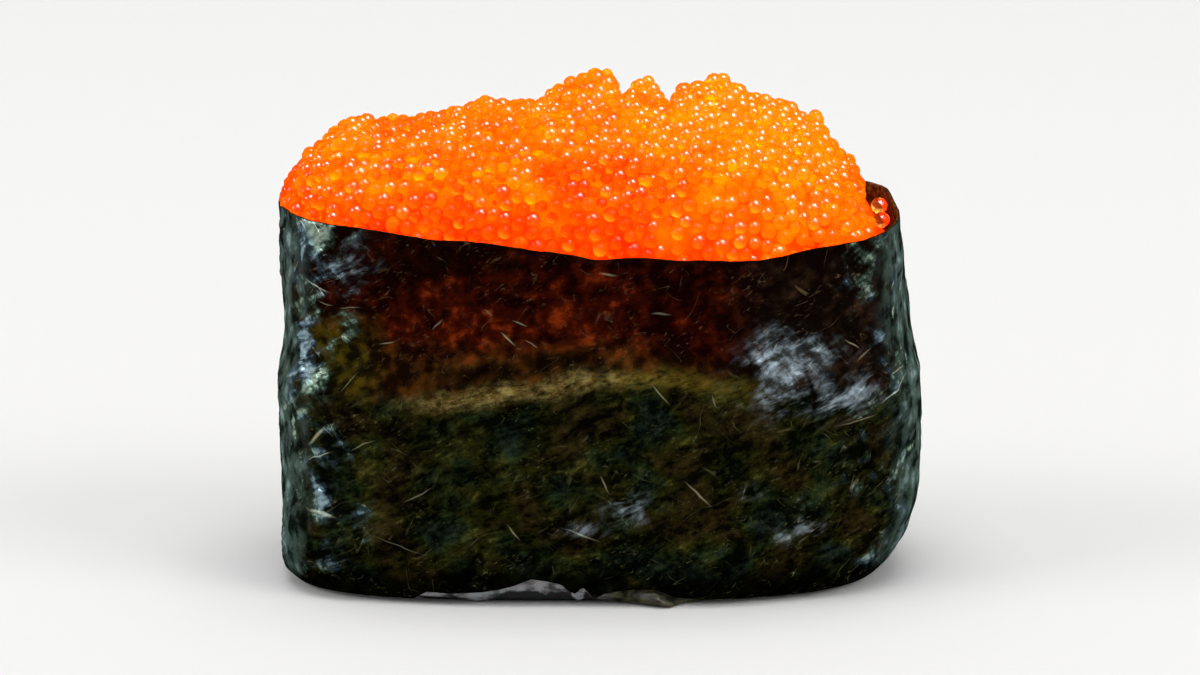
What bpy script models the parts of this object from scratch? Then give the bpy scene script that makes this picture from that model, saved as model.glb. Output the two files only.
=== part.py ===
"""Gunkan sushi: a strip of seaweed wrapped round a block of pressed rice and heaped with small fish eggs.

Units are metres, +Z is up. X runs along the roll, and -Y is its front.
Three solids fit inside one another: the seaweed strip (one turn and an overlap at the back), the rice that
fills its lower half and shows under its hem, and the roe that fills the upper half and rises above the rim.
"""

import math

import bmesh
import bpy
import numpy as np
from mathutils import Vector
from mathutils.geometry import delaunay_2d_cdt

MM = 0.001
FULL_TURN = 2.0 * math.pi
QUARTER_TURN = 0.5 * math.pi

# The roll's plan is a rounded oblong: a superellipse, squarer at its left end, whose sides lean and tuck in.
SQUARENESS_LEFT = 3.5
SQUARENESS_RIGHT = 2.8
# Each wall: widest half size, how far it leans in at the rim, and how wide and high it tucks in at the base.
RIGHT_WALL = (27.3 * MM, 1.6 * MM, 5.0 * MM, 8.6 * MM)
LEFT_WALL = (26.9 * MM, 0.1 * MM, 1.9 * MM, 2.4 * MM)
FRONT_WALL = (15.3 * MM, 0.1 * MM, 2.3 * MM, 3.0 * MM)
BACK_WALL = (15.3 * MM, 0.5 * MM, 2.0 * MM, 2.8 * MM)
WIDEST_HEIGHT = 13.0 * MM

# Seaweed strip
SEAWEED_THICKNESS = 0.35 * MM
STRIP_WIDTH = 32.1 * MM
RIM_DIP = 3.1 * MM
RIM_DIP_ANGLE = math.radians(-62.0)
RIM_DIP_REACH_RIGHT = math.radians(50.0)
RIM_DIP_REACH_LEFT = math.radians(72.0)
RIM_DIP_POWER = 2.5
# Ripples of the rim: height, how many round the roll, and phase
RIM_RIPPLES = ((0.12 * MM, 9, 0.7), (0.08 * MM, 17, 0.0))
HEM_HEIGHT = 0.35 * MM
# Where rice lifts the hem at the front: middle, half length and height
HEM_LIFTS = ((-5.2 * MM, 4.6 * MM, 1.5 * MM), (5.5 * MM, 3.4 * MM, 0.6 * MM))
HEM_LIFT_FRONT = (6.0 * MM, 11.0 * MM)
OVERLAP = 8.0 * MM
OVERLAP_EASE = 6.0 * MM
SEAM_ANGLE = math.radians(68.0)
STRIP_COLUMNS = 60
STRIP_ROWS = 9
ROW_CROWDING = 1.35

# Relief of the strip: it stands out over the rice's edge, sinks in above it, waves, and spreads at its left foot.
SHOULDER_AT_ENDS = 0.1 * MM
SHOULDER_AT_SIDES = 0.45 * MM
SHOULDER_HEIGHT = 1.9 * MM
SHOULDER_SIDES = (4.0 * MM, 11.0 * MM)
HOLLOW = 0.35 * MM
HOLLOW_FADE_IN = (0.0, 5.0 * MM)
HOLLOW_FADE_OUT = (6.0 * MM, 12.0 * MM)
# Waves: depth, how many round the roll, phase, and the height in which they move on by one radian
WAVES = ((0.20 * MM, 5, 0.9, 7.0 * MM), (0.12 * MM, 11, 0.0, -4.0 * MM))
WAVES_FADE_IN = (0.0, 5.0 * MM)
LEFT_FOOT = 0.5 * MM
LEFT_FOOT_HEIGHT = 4.0 * MM
LEFT_FOOT_REACH = 3.2 * MM
LEFT_FOOT_SIDE = (19.0 * MM, 25.0 * MM)

# Fit between pieces that touch in the real roll
CLEARANCE = 0.35 * MM
FILLING_INSET = SEAWEED_THICKNESS + CLEARANCE

# Rice
RICE_EDGE = 17.2 * MM
RICE_CROWN = 2.6 * MM
RICE_CROWN_X = 3.0 * MM
RICE_CROWN_REACH = 11.0 * MM
RICE_CROWN_FRONT = 10.0 * MM
RICE_PEAK = 21.0 * MM
RICE_CORE_BOTTOM = 0.45 * MM
RICE_SIDES = 48
RICE_CUTS = 3
GRAIN_LENGTH = 6.4 * MM
GRAIN_WIDTH = 3.1 * MM
GRAIN_HEIGHT = 2.3 * MM
GRAIN_SEGMENTS = 5
GRAIN_RINGS = 4
GRAIN_CENTRE_HEIGHT = 0.8 * MM
GRAIN_SPACING = 3.7 * MM
GRAIN_THROWS = 2500
GRAIN_TILT = math.radians(7.0)
GRAIN_ROOM = 0.15 * MM
# Grains that show under the lifted hem: place along the roll, turn and length
HEM_GRAINS = ((-8.2 * MM, 0.05, 4.6 * MM), (-4.4 * MM, -0.10, 5.4 * MM), (-1.6 * MM, 0.25, 3.6 * MM))
HEM_GRAINS = (*HEM_GRAINS, (5.6 * MM, 0.02, 4.4 * MM))
HEM_GRAIN_SETBACK = 2.2 * MM

# Roe
EGG = 1.37 * MM
EGG_RELIEF = 0.38 * MM
EGG_JITTER = 0.16
SPINE_EGGS = 17
HEAP_SLOPE_SHARE = 0.93
DOME_POWER = 0.9
CREST = 40.3 * MM
RIGHT_FALL = 3.2 * MM
RIGHT_FALL_SPAN = (17.5 * MM, 22.5 * MM)
# The heap's edge against the strip: below the rim, lower still at the right end, heaped over it at the left.
EDGE_DROP = 0.35 * MM
RIGHT_EDGE_DROP = 1.7 * MM
RIGHT_EDGE = (math.radians(12.0), math.radians(32.0))
LEFT_EDGE_RISE = 1.2 * MM
LEFT_EDGE = (math.radians(184.0), math.radians(24.0))
PLUG_RINGS = 3
# Clumps on the heap: x, y, height and reach along the roll. Each runs further across it by the stretch.
CLUMP_STRETCH = 1.7
CLUMPS = (
    (-21.5 * MM, 0.0 * MM, 0.2 * MM, 3.0 * MM),
    (-15.6 * MM, 0.5 * MM, -1.9 * MM, 4.2 * MM),
    (-9.6 * MM, 1.0 * MM, 0.6 * MM, 1.8 * MM),
    (-4.4 * MM, 1.0 * MM, 0.2 * MM, 2.0 * MM),
    (-0.4 * MM, 0.5 * MM, 2.7 * MM, 2.3 * MM),
    (4.0 * MM, 0.5 * MM, 1.4 * MM, 1.3 * MM),
    (9.6 * MM, 0.5 * MM, 2.0 * MM, 3.1 * MM),
    (16.5 * MM, 0.0 * MM, 0.6 * MM, 2.6 * MM),
    (-6.0 * MM, -8.0 * MM, 0.6 * MM, 4.0 * MM),
    (8.0 * MM, -9.0 * MM, 0.5 * MM, 4.5 * MM),
)

FINE_TURN = 1440
RICE_SEED = 11
ROE_SEED = 5


def smooth_step(x, start, end):
    """0 before start, 1 after end, an S-curve between."""
    t = np.clip((x - start) / (end - start), 0.0, 1.0)
    return t * t * (3.0 - 2.0 * t)


def bell(x, middle, reach):
    """A smooth hill: 1 in the middle, about a third one reach away."""
    return np.exp(-(((x - middle) / reach) ** 2))


def turned(angle, start):
    """The angle from start, wrapped to half a turn either way."""
    return (angle - start + math.pi) % FULL_TURN - math.pi


def half_size(wall, height):
    """A wall's distance from the middle at a height: an elliptic tuck at the base, a lean towards the rim."""
    widest, lean, tuck, tuck_height = wall
    up = np.clip((height - WIDEST_HEIGHT) / (STRIP_WIDTH - WIDEST_HEIGHT), 0.0, None)
    under = np.clip(1.0 - height / tuck_height, 0.0, 1.0)
    return widest - lean * up**2 - tuck * (1.0 - np.sqrt(1.0 - under**2))


def half_sizes(angle, height):
    """Half length and half width of the plan, of the walls that a polar angle faces."""
    half_x = np.where(np.cos(angle) > 0.0, half_size(RIGHT_WALL, height), half_size(LEFT_WALL, height))
    half_y = np.where(np.sin(angle) > 0.0, half_size(BACK_WALL, height), half_size(FRONT_WALL, height))
    return half_x, half_y


def oblong(angle, half_x, half_y):
    """Radius of a superellipse at a polar angle."""
    power = np.where(np.cos(angle) > 0.0, SQUARENESS_RIGHT, SQUARENESS_LEFT)
    along = (np.abs(np.cos(angle)) / half_x) ** power
    across = (np.abs(np.sin(angle)) / half_y) ** power
    return (along + across) ** (-1.0 / power)


def rim_height(angle):
    """The strip's upper edge: level at the back and ends, dipped at the front right."""
    turn = turned(angle, RIM_DIP_ANGLE)
    reach = np.where(turn > 0.0, RIM_DIP_REACH_RIGHT, RIM_DIP_REACH_LEFT)
    height = STRIP_WIDTH - RIM_DIP * np.exp(-(np.abs(turn / reach) ** RIM_DIP_POWER))
    for rise, count, phase in RIM_RIPPLES:
        height = height + rise * np.sin(count * angle + phase)
    return height


def hem_height(x, y):
    """The strip's lower edge: just clear of the table, lifted where rice pushes out at the front."""
    lift = np.zeros_like(x)
    for middle, half_length, rise in HEM_LIFTS:
        lift = lift + rise * np.exp(-(np.abs((x - middle) / half_length) ** 3))
    return HEM_HEIGHT + lift * smooth_step(-y, *HEM_LIFT_FRONT)


def rice_height(x, y):
    """Where the rice stops against the strip: a low crown on the front, level at the back."""
    front = smooth_step(-y, 0.0, RICE_CROWN_FRONT)
    return RICE_EDGE + front * RICE_CROWN * bell(x, RICE_CROWN_X, RICE_CROWN_REACH)


def relief(angle, height, x, y):
    """How far the wall stands out from the plain oblong."""
    above = height - rice_height(x, y)
    side = smooth_step(np.abs(y), *SHOULDER_SIDES)
    shoulder = SHOULDER_AT_ENDS + (SHOULDER_AT_SIDES - SHOULDER_AT_ENDS) * side
    depth = shoulder * bell(above, 0.0, SHOULDER_HEIGHT)
    depth = depth - HOLLOW * smooth_step(above, *HOLLOW_FADE_IN) * (1.0 - smooth_step(above, *HOLLOW_FADE_OUT))
    for size, count, phase, rise in WAVES:
        wave = size * np.sin(count * angle + phase + height / rise)
        depth = depth + wave * smooth_step(height, *WAVES_FADE_IN)
    foot = LEFT_FOOT * bell(height, LEFT_FOOT_HEIGHT, LEFT_FOOT_REACH)
    return depth + foot * smooth_step(-x, *LEFT_FOOT_SIDE)


def wall_point(angle, height, inset=0.0):
    """A point on the strip's outer face, or inset from it, as (x, y)."""
    half_x, half_y = half_sizes(angle, height)
    radius = oblong(angle, half_x - inset, half_y - inset)
    radius = radius + relief(angle, height, radius * np.cos(angle), radius * np.sin(angle))
    return radius * np.cos(angle), radius * np.sin(angle)


def waist_point(angle):
    """The outer face at the roll's widest height, where the wall stands plumb."""
    return wall_point(angle, np.full_like(angle, WIDEST_HEIGHT))


def even_angles(lengths, start):
    """Polar angles at given distances along the roll's girth from the angle start, and the whole girth."""
    fine = start + np.linspace(0.0, 2.0 * FULL_TURN, 2 * FINE_TURN + 1)
    x, y = waist_point(fine)
    run = np.concatenate([[0.0], np.cumsum(np.hypot(np.diff(x), np.diff(y)))])
    return np.interp(lengths, run, fine), run[FINE_TURN]


def material(name, colour, roughness, subsurface=0.0, coat=0.0):
    """A Principled finish for one piece."""
    made = bpy.data.materials.new(name)
    made.use_nodes = True
    shader = made.node_tree.nodes["Principled BSDF"]
    shader.inputs["Base Color"].default_value = (*colour, 1.0)
    shader.inputs["Roughness"].default_value = roughness
    shader.inputs["Metallic"].default_value = 0.0
    shader.inputs["Subsurface Weight"].default_value = subsurface
    shader.inputs["Subsurface Scale"].default_value = MM
    shader.inputs["Coat Weight"].default_value = coat
    made.diffuse_color = (*colour, 1.0)
    return made


def vertices_of(mesh):
    """A mesh's vertices as rows of an array."""
    flat = np.empty(len(mesh.vertices) * 3, dtype=np.float32)
    mesh.vertices.foreach_get("co", flat)
    return flat.reshape(-1, 3).astype(float)


def place_vertices(mesh, points):
    """Moves a mesh's vertices to the rows of an array."""
    mesh.vertices.foreach_set("co", np.ascontiguousarray(points, dtype=np.float32).ravel())
    mesh.update()


def file_in(obj, group):
    """Moves an object from wherever it was made to one collection."""
    for held in list(obj.users_collection):
        held.objects.unlink(obj)
    group.objects.link(obj)


def finish_object(obj, name, finish, group, parent):
    """Names a piece, gives it its material and files it in the roll's collection."""
    obj.name = name
    obj.data.name = name
    obj.data.materials.clear()
    obj.data.materials.append(finish)
    obj.data.shade_smooth()
    file_in(obj, group)
    obj.parent = parent
    return obj


def make_seaweed():
    """The strip: a flat grid bent round the roll once, its end lapped over its start, then given its thickness."""
    bpy.ops.mesh.primitive_grid_add(x_subdivisions=STRIP_COLUMNS, y_subdivisions=STRIP_ROWS, size=1.0)
    strip = bpy.context.object
    flat = vertices_of(strip.data)
    girth = even_angles(np.zeros(1), SEAM_ANGLE)[1]
    run = (flat[:, 0] + 0.5) * (girth + OVERLAP)
    angle = even_angles(run, SEAM_ANGLE)[0]
    low = hem_height(*waist_point(angle))
    # Rows crowd together near the hem, where the wall tucks under.
    share = (flat[:, 1] + 0.5) ** ROW_CROWDING
    height = low + share * (rim_height(angle) - low)
    x, y = wall_point(angle, height)
    lift = (SEAWEED_THICKNESS + CLEARANCE) * smooth_step(run, girth - OVERLAP_EASE, girth)
    outward = 1.0 + lift / np.hypot(x, y)
    place_vertices(strip.data, np.column_stack([x * outward, y * outward, height]))
    thickness = strip.modifiers.new("thickness", "SOLIDIFY")
    thickness.thickness = SEAWEED_THICKNESS
    thickness.offset = -1.0
    thickness.use_even_offset = True
    return strip


def rice_core():
    """The pressed block: a capped cylinder bent to the strip's inner face, its top cap drawn up to a low peak."""
    bpy.ops.mesh.primitive_cylinder_add(vertices=RICE_SIDES, radius=1.0, depth=1.0, end_fill_type="TRIFAN")
    core = bpy.context.object
    shape = bmesh.new()
    shape.from_mesh(core.data)
    upright = [e for e in shape.edges if abs(e.verts[0].co.z - e.verts[1].co.z) > 0.5]
    bmesh.ops.subdivide_edges(shape, edges=upright, cuts=RICE_CUTS)
    shape.to_mesh(core.data)
    shape.free()
    flat = vertices_of(core.data)
    share = flat[:, 2] + 0.5
    centre = np.hypot(flat[:, 0], flat[:, 1]) < 0.5
    step = np.round(np.arctan2(flat[:, 1], flat[:, 0]) % FULL_TURN / FULL_TURN * RICE_SIDES)
    girth = even_angles(np.zeros(1), 0.0)[1]
    angle = even_angles(step / RICE_SIDES * girth, 0.0)[0]
    top = rice_height(*waist_point(angle))
    height = RICE_CORE_BOTTOM + share * (top - RICE_CORE_BOTTOM)
    x, y = wall_point(angle, height, FILLING_INSET)
    x[centre] = 0.0
    y[centre] = 0.0
    height[centre] = np.where(share[centre] > 0.5, RICE_PEAK, RICE_CORE_BOTTOM)
    place_vertices(core.data, np.column_stack([x, y, height]))
    return core


def make_grain(place, turn, tilt, length, height, group):
    """One cooked grain: a few-sided ball stretched along its length and laid on the table."""
    bpy.ops.mesh.primitive_uv_sphere_add(segments=GRAIN_SEGMENTS, ring_count=GRAIN_RINGS, radius=0.5)
    grain = bpy.context.object
    # The ball's poles become the grain's two ends.
    points = vertices_of(grain.data)[:, [2, 1, 0]] * [length, GRAIN_WIDTH, height]
    place_vertices(grain.data, points)
    grain.data.flip_normals()
    grain.location = place
    grain.rotation_euler = (0.0, tilt, turn)
    file_in(grain, group)


def grain_fits(x, y, turn, length):
    """Whether a grain's outline stays inside the strip where it tucks under at the base."""
    around = np.linspace(0.0, FULL_TURN, 16, endpoint=False)
    along = 0.5 * length * np.cos(around)
    across = 0.5 * GRAIN_WIDTH * np.sin(around)
    edge_x = x + along * math.cos(turn) - across * math.sin(turn)
    edge_y = y + along * math.sin(turn) + across * math.cos(turn)
    angle = np.arctan2(edge_y, edge_x)
    limit = wall_point(angle, np.full_like(angle, HEM_HEIGHT), FILLING_INSET + GRAIN_ROOM)
    return bool((np.hypot(edge_x, edge_y) < np.hypot(*limit)).all())


def underside_grains(group):
    """Grains pressed flat under the block: thrown at random, and kept where they fit clear of those before them."""
    draw = np.random.default_rng(RICE_SEED)
    make_grain((0.0, 0.0, GRAIN_CENTRE_HEIGHT), 0.3, 0.0, GRAIN_LENGTH, GRAIN_HEIGHT, group)
    kept = [(0.0, 0.0)]
    for _ in range(GRAIN_THROWS):
        x = draw.uniform(-1.0, 1.0) * RIGHT_WALL[0]
        y = draw.uniform(-1.0, 1.0) * FRONT_WALL[0]
        turn = draw.uniform(0.0, math.pi)
        tilt = draw.uniform(-GRAIN_TILT, GRAIN_TILT)
        length = GRAIN_LENGTH * draw.uniform(0.85, 1.05)
        height = GRAIN_CENTRE_HEIGHT + draw.uniform(-0.1, 0.2) * MM
        nearest = min(math.hypot(x - other[0], y - other[1]) for other in kept)
        if nearest > GRAIN_SPACING and grain_fits(x, y, turn, length):
            make_grain((x, y, height), turn, tilt, length, GRAIN_HEIGHT, group)
            kept.append((x, y))
    print("grains under the block:", len(kept))


def hem_grains(group):
    """Low grains under the lifted hem. Each is as tall as twice its top, so the table cuts it through its middle."""
    front = -half_size(FRONT_WALL, WIDEST_HEIGHT)
    setback = HEM_GRAIN_SETBACK + float(half_size(FRONT_WALL, WIDEST_HEIGHT) - half_size(FRONT_WALL, MM))
    for x, turn, length in HEM_GRAINS:
        top = float(hem_height(np.array([x]), np.array([front]))[0]) - CLEARANCE
        make_grain((x, front + setback, 0.0), turn, 0.0, length, 2.0 * top, group)


def make_rice():
    """The block and its grains made one solid, and cut level where it stands on the table."""
    core = rice_core()
    loose = bpy.data.collections.new("loose_grains")
    bpy.context.scene.collection.children.link(loose)
    underside_grains(loose)
    hem_grains(loose)
    join = core.modifiers.new("join_grains", "BOOLEAN")
    join.operation = "UNION"
    join.operand_type = "COLLECTION"
    join.collection = loose
    join.solver = "MANIFOLD"
    bpy.ops.mesh.primitive_cube_add(size=1.0)
    table = bpy.context.object
    table.scale = (80.0 * MM, 60.0 * MM, 10.0 * MM)
    table.location = (0.0, 0.0, -5.0 * MM)
    level = core.modifiers.new("level_base", "BOOLEAN")
    level.operation = "DIFFERENCE"
    level.solver = "MANIFOLD"
    level.object = table
    graph = bpy.context.evaluated_depsgraph_get()
    joined = bpy.data.meshes.new_from_object(core.evaluated_get(graph))
    core.modifiers.clear()
    core.data = joined
    for helper in [*loose.objects, table]:
        bpy.data.objects.remove(helper)
    bpy.data.collections.remove(loose)
    return core


def edge_height(angle):
    """Where the heap's lowest eggs meet the strip."""
    right = bell(turned(angle, RIGHT_EDGE[0]), 0.0, RIGHT_EDGE[1])
    left = bell(turned(angle, LEFT_EDGE[0]), 0.0, LEFT_EDGE[1])
    return rim_height(angle) - EDGE_DROP - RIGHT_EDGE_DROP * right + LEFT_EDGE_RISE * left


def crest_height(x):
    """The heap's height along its spine, before the clumps."""
    return CREST - RIGHT_FALL * smooth_step(x, *RIGHT_FALL_SPAN)


def clump_height(x, y):
    """How much the clumps and hollows add to the heap."""
    total = np.zeros_like(x)
    for clump_x, clump_y, rise, reach in CLUMPS:
        total = total + rise * bell(x, clump_x, reach) * bell(y, clump_y, reach * CLUMP_STRETCH)
    return total


def heap_point(angle, climb):
    """A point of the heap's surface. climb runs from 0 at the strip to a quarter turn at the spine."""
    half_x, half_y = half_sizes(angle, np.full_like(angle, STRIP_WIDTH))
    half_x = half_x - FILLING_INSET
    half_y = half_y - FILLING_INSET
    narrow = np.maximum(half_y * np.cos(climb), 0.01 * MM)
    radius = oblong(angle, half_x - half_y * (1.0 - np.cos(climb)), narrow)
    x = radius * np.cos(angle)
    y = radius * np.sin(angle)
    low = edge_height(angle)
    dome = np.sin(climb) ** DOME_POWER
    height = low + (crest_height(x) + clump_height(x, y) - low) * dome
    # The lowest ring follows the strip's inner face, with its waves.
    edge = np.hypot(*wall_point(angle, low, FILLING_INSET)) / oblong(angle, half_x, half_y)
    spread = 1.0 + (edge - 1.0) * (1.0 - smooth_step(climb, 0.0, 0.5))
    return np.column_stack([x * spread, y * spread, height])


def flattened_point(angle, climb):
    """The same point with the heap laid out flat, so that neighbours on the slope stay neighbours."""
    slope = half_size(FRONT_WALL, STRIP_WIDTH) * (QUARTER_TURN - climb)
    spine = half_size(LEFT_WALL, STRIP_WIDTH) - half_size(FRONT_WALL, STRIP_WIDTH)
    radius = oblong(angle, spine + slope, np.maximum(slope, 0.01 * MM))
    return np.column_stack([radius * np.cos(angle), radius * np.sin(angle)])


def ring_of_eggs(climb, stagger):
    """Polar angles of the eggs of one ring, an egg's width apart."""
    fine = np.linspace(-math.pi, math.pi, FINE_TURN + 1)
    points = heap_point(fine, np.full_like(fine, climb))
    run = np.concatenate([[0.0], np.cumsum(np.linalg.norm(np.diff(points, axis=0), axis=1))])
    count = round(run[-1] / EGG)
    return np.interp((np.arange(count) + stagger) / count * run[-1], run, fine)


def egg_sites():
    """The eggs on the surface, ring by ring from the strip to the spine and a little shuffled: places and a flat map."""
    draw = np.random.default_rng(ROE_SEED)
    row_step = EGG * math.sin(math.radians(60.0))
    rings = int(half_size(FRONT_WALL, STRIP_WIDTH) * QUARTER_TURN * HEAP_SLOPE_SHARE / row_step)
    angles = []
    climbs = []
    for ring in range(rings):
        climb = QUARTER_TURN * ring / rings
        around = ring_of_eggs(climb, 0.5 * (ring % 2))
        shuffle = EGG_JITTER if ring else 0.0
        count = len(around)
        angles.append(around + draw.uniform(-shuffle, shuffle, count) * FULL_TURN / count)
        climbs.append(climb + draw.uniform(-shuffle, shuffle, count) * QUARTER_TURN / rings)
    angle = np.concatenate(angles)
    climb = np.concatenate(climbs)
    # The spine's eggs lie in a row between the two ends of the innermost ring.
    half_width = half_size(FRONT_WALL, STRIP_WIDTH)
    left = half_width - half_size(LEFT_WALL, STRIP_WIDTH)
    right = half_size(RIGHT_WALL, STRIP_WIDTH) - half_width
    row = np.linspace(left, right, SPINE_EGGS)
    middle = np.zeros(SPINE_EGGS)
    spine = np.column_stack([row, middle, crest_height(row) + clump_height(row, middle)])
    sites = np.vstack([heap_point(angle, climb), spine])
    flat = np.vstack([flattened_point(angle, climb), spine[:, :2]])
    return sites, flat


def close_plug(shape, border):
    """Carries the heap's edge down the strip's inner face to the rice, and closes it over the rice's peak."""
    for ring in range(PLUG_RINGS):
        grown = bmesh.ops.extrude_edge_only(shape, edges=border)["geom"]
        border = [e for e in grown if isinstance(e, bmesh.types.BMEdge) and e.is_boundary]
        corners = [v for v in grown if isinstance(v, bmesh.types.BMVert)]
        angle = np.array([math.atan2(v.co.y, v.co.x) for v in corners])
        high = edge_height(angle)
        bottom = rice_height(*waist_point(angle)) + CLEARANCE
        level = high + (ring + 1) / PLUG_RINGS * (bottom - high)
        x, y = wall_point(angle, level, FILLING_INSET)
        for corner, place in zip(corners, np.column_stack([x, y, level])):
            corner.co = place
    floor = bmesh.ops.contextual_create(shape, geom=border)["faces"]
    middle = bmesh.ops.poke(shape, faces=floor)["verts"][0]
    middle.co = (0.0, 0.0, RICE_PEAK + CLEARANCE)


def make_roe():
    """The heap: one six-sided bump for each egg on its surface, over a plug that fills the strip down to the rice."""
    sites, flat = egg_sites()
    found = delaunay_2d_cdt([Vector(p) for p in flat], [], [], 0, 1e-9)
    triangles, origins = found[2], found[3]
    shape = bmesh.new()
    for origin in origins:
        shape.verts.new(sites[origin[0]])
    shape.verts.ensure_lookup_table()
    for corners in triangles:
        shape.faces.new([shape.verts[i] for i in corners])
    bmesh.ops.recalc_face_normals(shape, faces=shape.faces)
    if sum(f.normal.z for f in shape.faces) < 0.0:
        bmesh.ops.reverse_faces(shape, faces=shape.faces)
    # Sinking the middle of every triangle and turning its edges leaves a six-sided bump over each egg.
    between = [e for e in shape.edges if len(e.link_faces) == 2]
    bmesh.ops.poke(shape, faces=shape.faces, offset=-EGG_RELIEF)
    bmesh.ops.rotate_edges(shape, edges=between)
    close_plug(shape, [e for e in shape.edges if e.is_boundary])
    bmesh.ops.recalc_face_normals(shape, faces=shape.faces)
    mesh = bpy.data.meshes.new("roe")
    shape.to_mesh(mesh)
    shape.free()
    print("eggs on the surface:", len(sites))
    return bpy.data.objects.new("roe", mesh)


def centre_on_origin(empty, pieces):
    """Moves the roll so that the middle of its footprint is at the origin."""
    bpy.context.view_layer.update()
    graph = bpy.context.evaluated_depsgraph_get()
    corners = np.array([corner[:] for piece in pieces for corner in piece.evaluated_get(graph).bound_box])
    middle = (corners.min(axis=0) + corners.max(axis=0)) / 2.0
    empty.location = (-middle[0], -middle[1], 0.0)
    bpy.context.view_layer.update()
    print("roll moved by (mm):", [round(float(v) / MM, 2) for v in empty.location])


def main():
    for old in list(bpy.data.objects):
        bpy.data.objects.remove(old)
    group = bpy.data.collections.new("gunkan_sushi")
    bpy.context.scene.collection.children.link(group)
    roll = bpy.data.objects.new("roll_origin", None)
    group.objects.link(roll)
    seaweed_finish = material("seaweed", (0.016, 0.022, 0.010), 0.32)
    rice_finish = material("rice", (0.80, 0.79, 0.72), 0.4, subsurface=0.4)
    roe_finish = material("roe", (0.95, 0.20, 0.01), 0.12, subsurface=0.6, coat=0.8)
    pieces = [
        finish_object(make_seaweed(), "seaweed", seaweed_finish, group, roll),
        finish_object(make_rice(), "rice", rice_finish, group, roll),
        finish_object(make_roe(), "roe", roe_finish, group, roll),
    ]
    centre_on_origin(roll, pieces)


main()
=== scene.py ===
# %% [markdown]
# # Flying fish roe gunkan sushi
#
# A gunkan is a boat of sushi: a block of pressed rice stands on the plate, a strip of seaweed is wrapped
# round it and stands taller than the rice, and the well that this leaves is heaped with roe. The packed
# model already holds the three solids at their real size. This lesson gives them their looks: a damp,
# crumpled seaweed sheet, a few thousand glassy eggs, and the sticky rice that shows under the hem.

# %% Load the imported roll
import math
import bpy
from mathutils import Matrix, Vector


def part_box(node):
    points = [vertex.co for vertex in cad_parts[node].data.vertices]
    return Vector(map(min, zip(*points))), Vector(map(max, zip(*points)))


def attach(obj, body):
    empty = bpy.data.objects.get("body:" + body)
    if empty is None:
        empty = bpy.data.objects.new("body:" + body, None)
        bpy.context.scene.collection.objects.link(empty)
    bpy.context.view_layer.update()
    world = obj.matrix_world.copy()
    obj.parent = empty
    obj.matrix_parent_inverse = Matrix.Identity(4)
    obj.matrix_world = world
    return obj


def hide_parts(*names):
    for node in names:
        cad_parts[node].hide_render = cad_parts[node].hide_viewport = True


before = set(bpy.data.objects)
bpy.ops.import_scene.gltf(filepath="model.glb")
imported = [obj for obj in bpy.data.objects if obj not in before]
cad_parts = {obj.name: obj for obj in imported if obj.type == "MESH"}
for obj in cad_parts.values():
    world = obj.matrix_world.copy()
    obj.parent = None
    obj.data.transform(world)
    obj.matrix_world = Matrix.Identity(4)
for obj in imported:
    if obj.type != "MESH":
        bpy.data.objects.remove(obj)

from types import SimpleNamespace

import bmesh
import bpy
import numpy as np
from mathutils import Vector

MM = 0.001
FULL_TURN = 2.0 * math.pi
QUARTER_TURN = 0.5 * math.pi
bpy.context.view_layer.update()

# %% [markdown]
# ## Tools: curves, noise and meshes
#
# Every surface below is an array: all its points are worked out at once, with no loop over vertices. The
# random fields come from one gradient noise, written in numpy, so that the same numbers can bend a mesh and
# colour it.

# %% Curves that fade and swell
def smooth_step(x, start, end):
    """0 before start, 1 after end, and the cubic 3t^2 - 2t^3 between."""
    t = np.clip((x - start) / (end - start), 0.0, 1.0)
    return t * t * (3.0 - 2.0 * t)


def bell(x, middle, reach):
    """A hill e^(-((x - middle) / reach)^2): 1 in the middle, about a third one reach away."""
    return np.exp(-(((x - middle) / reach) ** 2))


def turned(angle, start):
    """The angle from start, wrapped to half a turn either way."""
    return (angle - start + math.pi) % FULL_TURN - math.pi


# %% Random fields
def lattice_table(seed):
    """A shuffled list of 256 corners and a unit arrow for each, the raw stuff of gradient noise."""
    draw = np.random.default_rng(seed)
    arrows = draw.normal(size=(256, 3))
    return draw.permutation(256), arrows / np.linalg.norm(arrows, axis=1, keepdims=True)


def noise(points, scale, seed):
    """Gradient noise, about -1 to 1: corner arrows dotted with the way to the point, blended smoothly."""
    order, arrows = lattice_table(seed)
    scaled = points / scale
    cell = np.floor(scaled).astype(int)
    local = scaled - cell
    fade = local**3 * (local * (local * 6.0 - 15.0) + 10.0)
    total = np.zeros(len(points))
    for corner in np.ndindex(2, 2, 2):
        at = (cell + corner) & 255
        picked = order[(order[(order[at[:, 0]] + at[:, 1]) & 255] + at[:, 2]) & 255]
        weight = np.prod(np.where(corner, fade, 1.0 - fade), axis=1)
        total += weight * (arrows[picked] * (local - corner)).sum(axis=1)
    return 1.6 * total


def ridges(points, scale, seed):
    """Creases: 1 - 2|noise|, which has a sharp crest wherever the noise changes sign."""
    return 1.0 - 2.0 * np.abs(noise(points, scale, seed))


def pebbles(points, scale, seed):
    """Rounded bumps, 1 at each scattered centre and 0 between: 1 - (distance to the nearest centre)^2."""
    order, arrows = lattice_table(seed)
    scaled = points / scale
    cell = np.floor(scaled).astype(int)
    nearest = np.full(len(points), 9.0)
    for step in np.ndindex(3, 3, 3):
        at = cell + step - 1
        wrapped = at & 255
        picked = order[(order[(order[wrapped[:, 0]] + wrapped[:, 1]) & 255] + wrapped[:, 2]) & 255]
        centre = at + 0.5 + 0.42 * arrows[picked]
        nearest = np.minimum(nearest, ((scaled - centre) ** 2).sum(axis=1))
    return np.clip(1.0 - nearest, 0.0, 1.0)


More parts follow.
